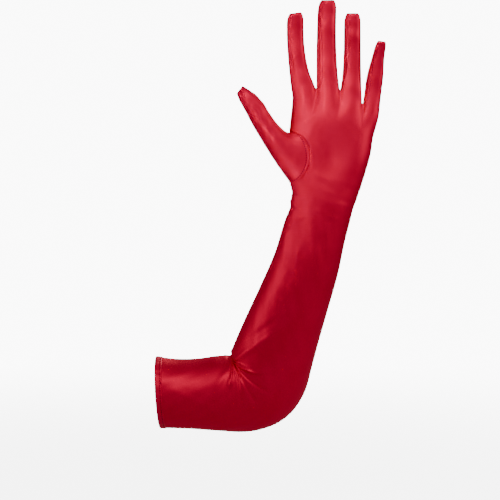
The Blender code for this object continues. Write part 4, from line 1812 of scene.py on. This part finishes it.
@dataclass(frozen=True)
class Studio:
    """A pale floor that fades into a white surround, soft lights, and the camera of the photograph.

    Attributes:
        floor_height: the floor's height.
        floor_radius: the floor's radius.
        floor_rings: circles of points over the floor.
        floor_columns: points round a circle.
        floor_colour: the floor's colour.
        floor_cover: how much of the surround it covers, in its middle and at its edge.
        fade_start: the distance from its middle at which it starts to fade.
        camera_place: where the camera stands, level and looking along +Y.
        lens: its focal length in millimetres on a 36 mm sensor.
        surround: how bright the white surround lights the glove.
        backdrop: how bright it shows behind the glove.
        lamps: the lights.
    """

    floor_height: float = -0.120
    floor_radius: float = 1.6
    floor_rings: int = 9
    floor_columns: int = 65
    floor_colour: Colour = (0.92, 0.92, 0.92, 1.0)
    floor_cover: tuple[float, float] = (0.4, 0.0)
    fade_start: float = 0.25
    camera_place: Place = (0.0902, -1.102, 0.1381)
    lens: float = 80.9
    surround: float = 0.14
    backdrop: float = 10.0
    lamps: tuple[Lamp, ...] = (
        Lamp("key", (0.10, -1.00, 1.35), (0.16, 0.0, 0.25), 0.60, 9.0),
        Lamp("hand", (-0.40, -1.10, 0.80), (0.17, 0.0, 0.34), 0.20, 0.060, 12.0),
        Lamp("thumb", (-0.60, -1.05, 0.05), (0.12, 0.0, 0.25), 0.15, 0.040, 10.0),
        Lamp("front", (0.35, -1.70, 0.30), (0.14, 0.0, 0.15), 0.90, 0.9),
        Lamp("left", (-1.30, -0.30, 0.45), (0.14, 0.0, 0.15), 0.60, 5.0),
        Lamp("right", (1.30, -0.50, 0.65), (0.14, 0.0, 0.25), 0.60, 6.0),
        Lamp("back", (0.60, 1.30, 0.80), (0.14, 0.0, 0.18), 0.80, 16.0),
    )

    def floor_finish(self) -> bpy.types.Material:
        """A pale finish that fades to nothing towards the floor's edge.

        Returns:
            The material.
        """
        made = bpy.data.materials.new("pale_floor")
        nodes = Nodes.of(made)
        place = nodes.object_place()
        middle = nodes.make("ShaderNodeVectorMath", {"operation": "LENGTH"}, {0: place}, "Value")
        cover = nodes.make("ShaderNodeMapRange", {"interpolation_type": "SMOOTHSTEP"}, {
            "Value": middle,
            "From Min": self.fade_start,
            "From Max": self.floor_radius,
            "To Min": self.floor_cover[0],
            "To Max": self.floor_cover[1],
        })
        inputs = {"Base Color": self.floor_colour, "Roughness": 0.8, "Alpha": cover}
        nodes.close("ShaderNodeOutputMaterial", nodes.make("ShaderNodeBsdfPrincipled", {}, inputs))
        return made

    def build_floor(self) -> None:
        """Add the floor: a disc of rings that lie closer together towards its middle."""
        ring = np.linspace(0, 1, self.floor_rings)[:, None] ** 1.5 * self.floor_radius
        turn = np.linspace(0, 2 * math.pi, self.floor_columns)[None, :]
        parts = np.broadcast_arrays(ring * np.cos(turn), ring * np.sin(turn), self.floor_height)
        mesh = bpy.data.meshes.new("floor")
        faces = grid_faces(self.floor_rings, self.floor_columns)
        mesh.from_pydata(np.stack(parts, axis=-1).reshape(-1, 3), [], faces)
        weld(mesh, 1e-5)
        mesh.materials.append(self.floor_finish())
        thing = bpy.data.objects.new("floor", mesh)
        bpy.context.scene.collection.objects.link(thing)
        thing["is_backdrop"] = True

    def build_surround(self) -> None:
        """Add the white surround, which shows brighter behind the glove than it lights it."""
        world = bpy.data.worlds.new("surround")
        bpy.context.scene.world = world
        nodes = Nodes.of(world)
        seen = nodes.make("ShaderNodeLightPath", {}, {}, "Is Camera Ray")
        strength = seen * (self.backdrop - self.surround) + self.surround
        white = {"Color": (1.0, 1.0, 1.0, 1.0), "Strength": strength}
        nodes.close("ShaderNodeOutputWorld", nodes.make("ShaderNodeBackground", {}, white))

    def build_camera(self) -> None:
        """Add the camera."""
        data = bpy.data.cameras.new("camera")
        data.lens = self.lens
        data.sensor_width = 36.0
        camera = bpy.data.objects.new("camera", data)
        camera.location = self.camera_place
        camera.rotation_euler = (math.pi / 2, 0.0, 0.0)
        bpy.context.scene.collection.objects.link(camera)
        bpy.context.scene.camera = camera

    def build(self) -> None:
        """Add the surround, the floor, the lights and the camera."""
        self.build_surround()
        self.build_floor()
        for lamp in self.lamps:
            lamp.build()
        self.build_camera()


def main() -> None:
    """Build the glove piece by piece, then the studio."""
    logging.basicConfig(level=logging.INFO, format="%(name)s: %(message)s")
    satin = Satin("satin").build()
    hem_satin = Satin("hem_satin", roughness=0.46, metallic=0.35).build()
    reverse = Matte(
        "satin_reverse", (0.36, 0.004, 0.018, 1.0), (0.25, 0.002, 0.012, 1.0), 0.7, 1600.0, 0.00005
    ).build()
    thread = Matte(
        "thread", (0.200, 0.001, 0.010, 1.0), (0.100, 0.0005, 0.005, 1.0), 0.65, 3500.0, 0.00003
    ).build()
    shape = GloveShape()
    body = GloveBody(shape)
    body.build(satin, reverse)
    names = ("index", "middle", "ring", "little")
    for finger in range(LAST_FINGER):
        Fourchette(body, finger, names[finger:finger + 2]).build(satin, reverse)
    thumb = Thumb(body)
    thumb.build(satin, reverse)
    hem = Hem(shape)
    hem.build(hem_satin)
    for side in Side:
        sewing = Stitches(f"finger_stitches_{side.name.lower()}")
        sewing.build(body.sewing_lines(side), body.skin.thing, thread)
    Stitches("thumb_stitches", length=0.0013).build([thumb.sewn], thumb.skin.thing, thread)
    hem_sewing = Stitches("hem_stitches", pitch=0.0024, length=0.0015, radius=0.00022)
    # The frame's own hem has no sunk line, so the sewing that lies on it stands up a little and shows.
    hem_sewing.build([hem.sewing_line()], bpy.data.objects["hem_band"], thread)
    Studio().build()
    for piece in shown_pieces():
        LOG.info("%s: %d faces", piece.name, len(piece.data.polygons))


if __name__ == "__main__":
    main()
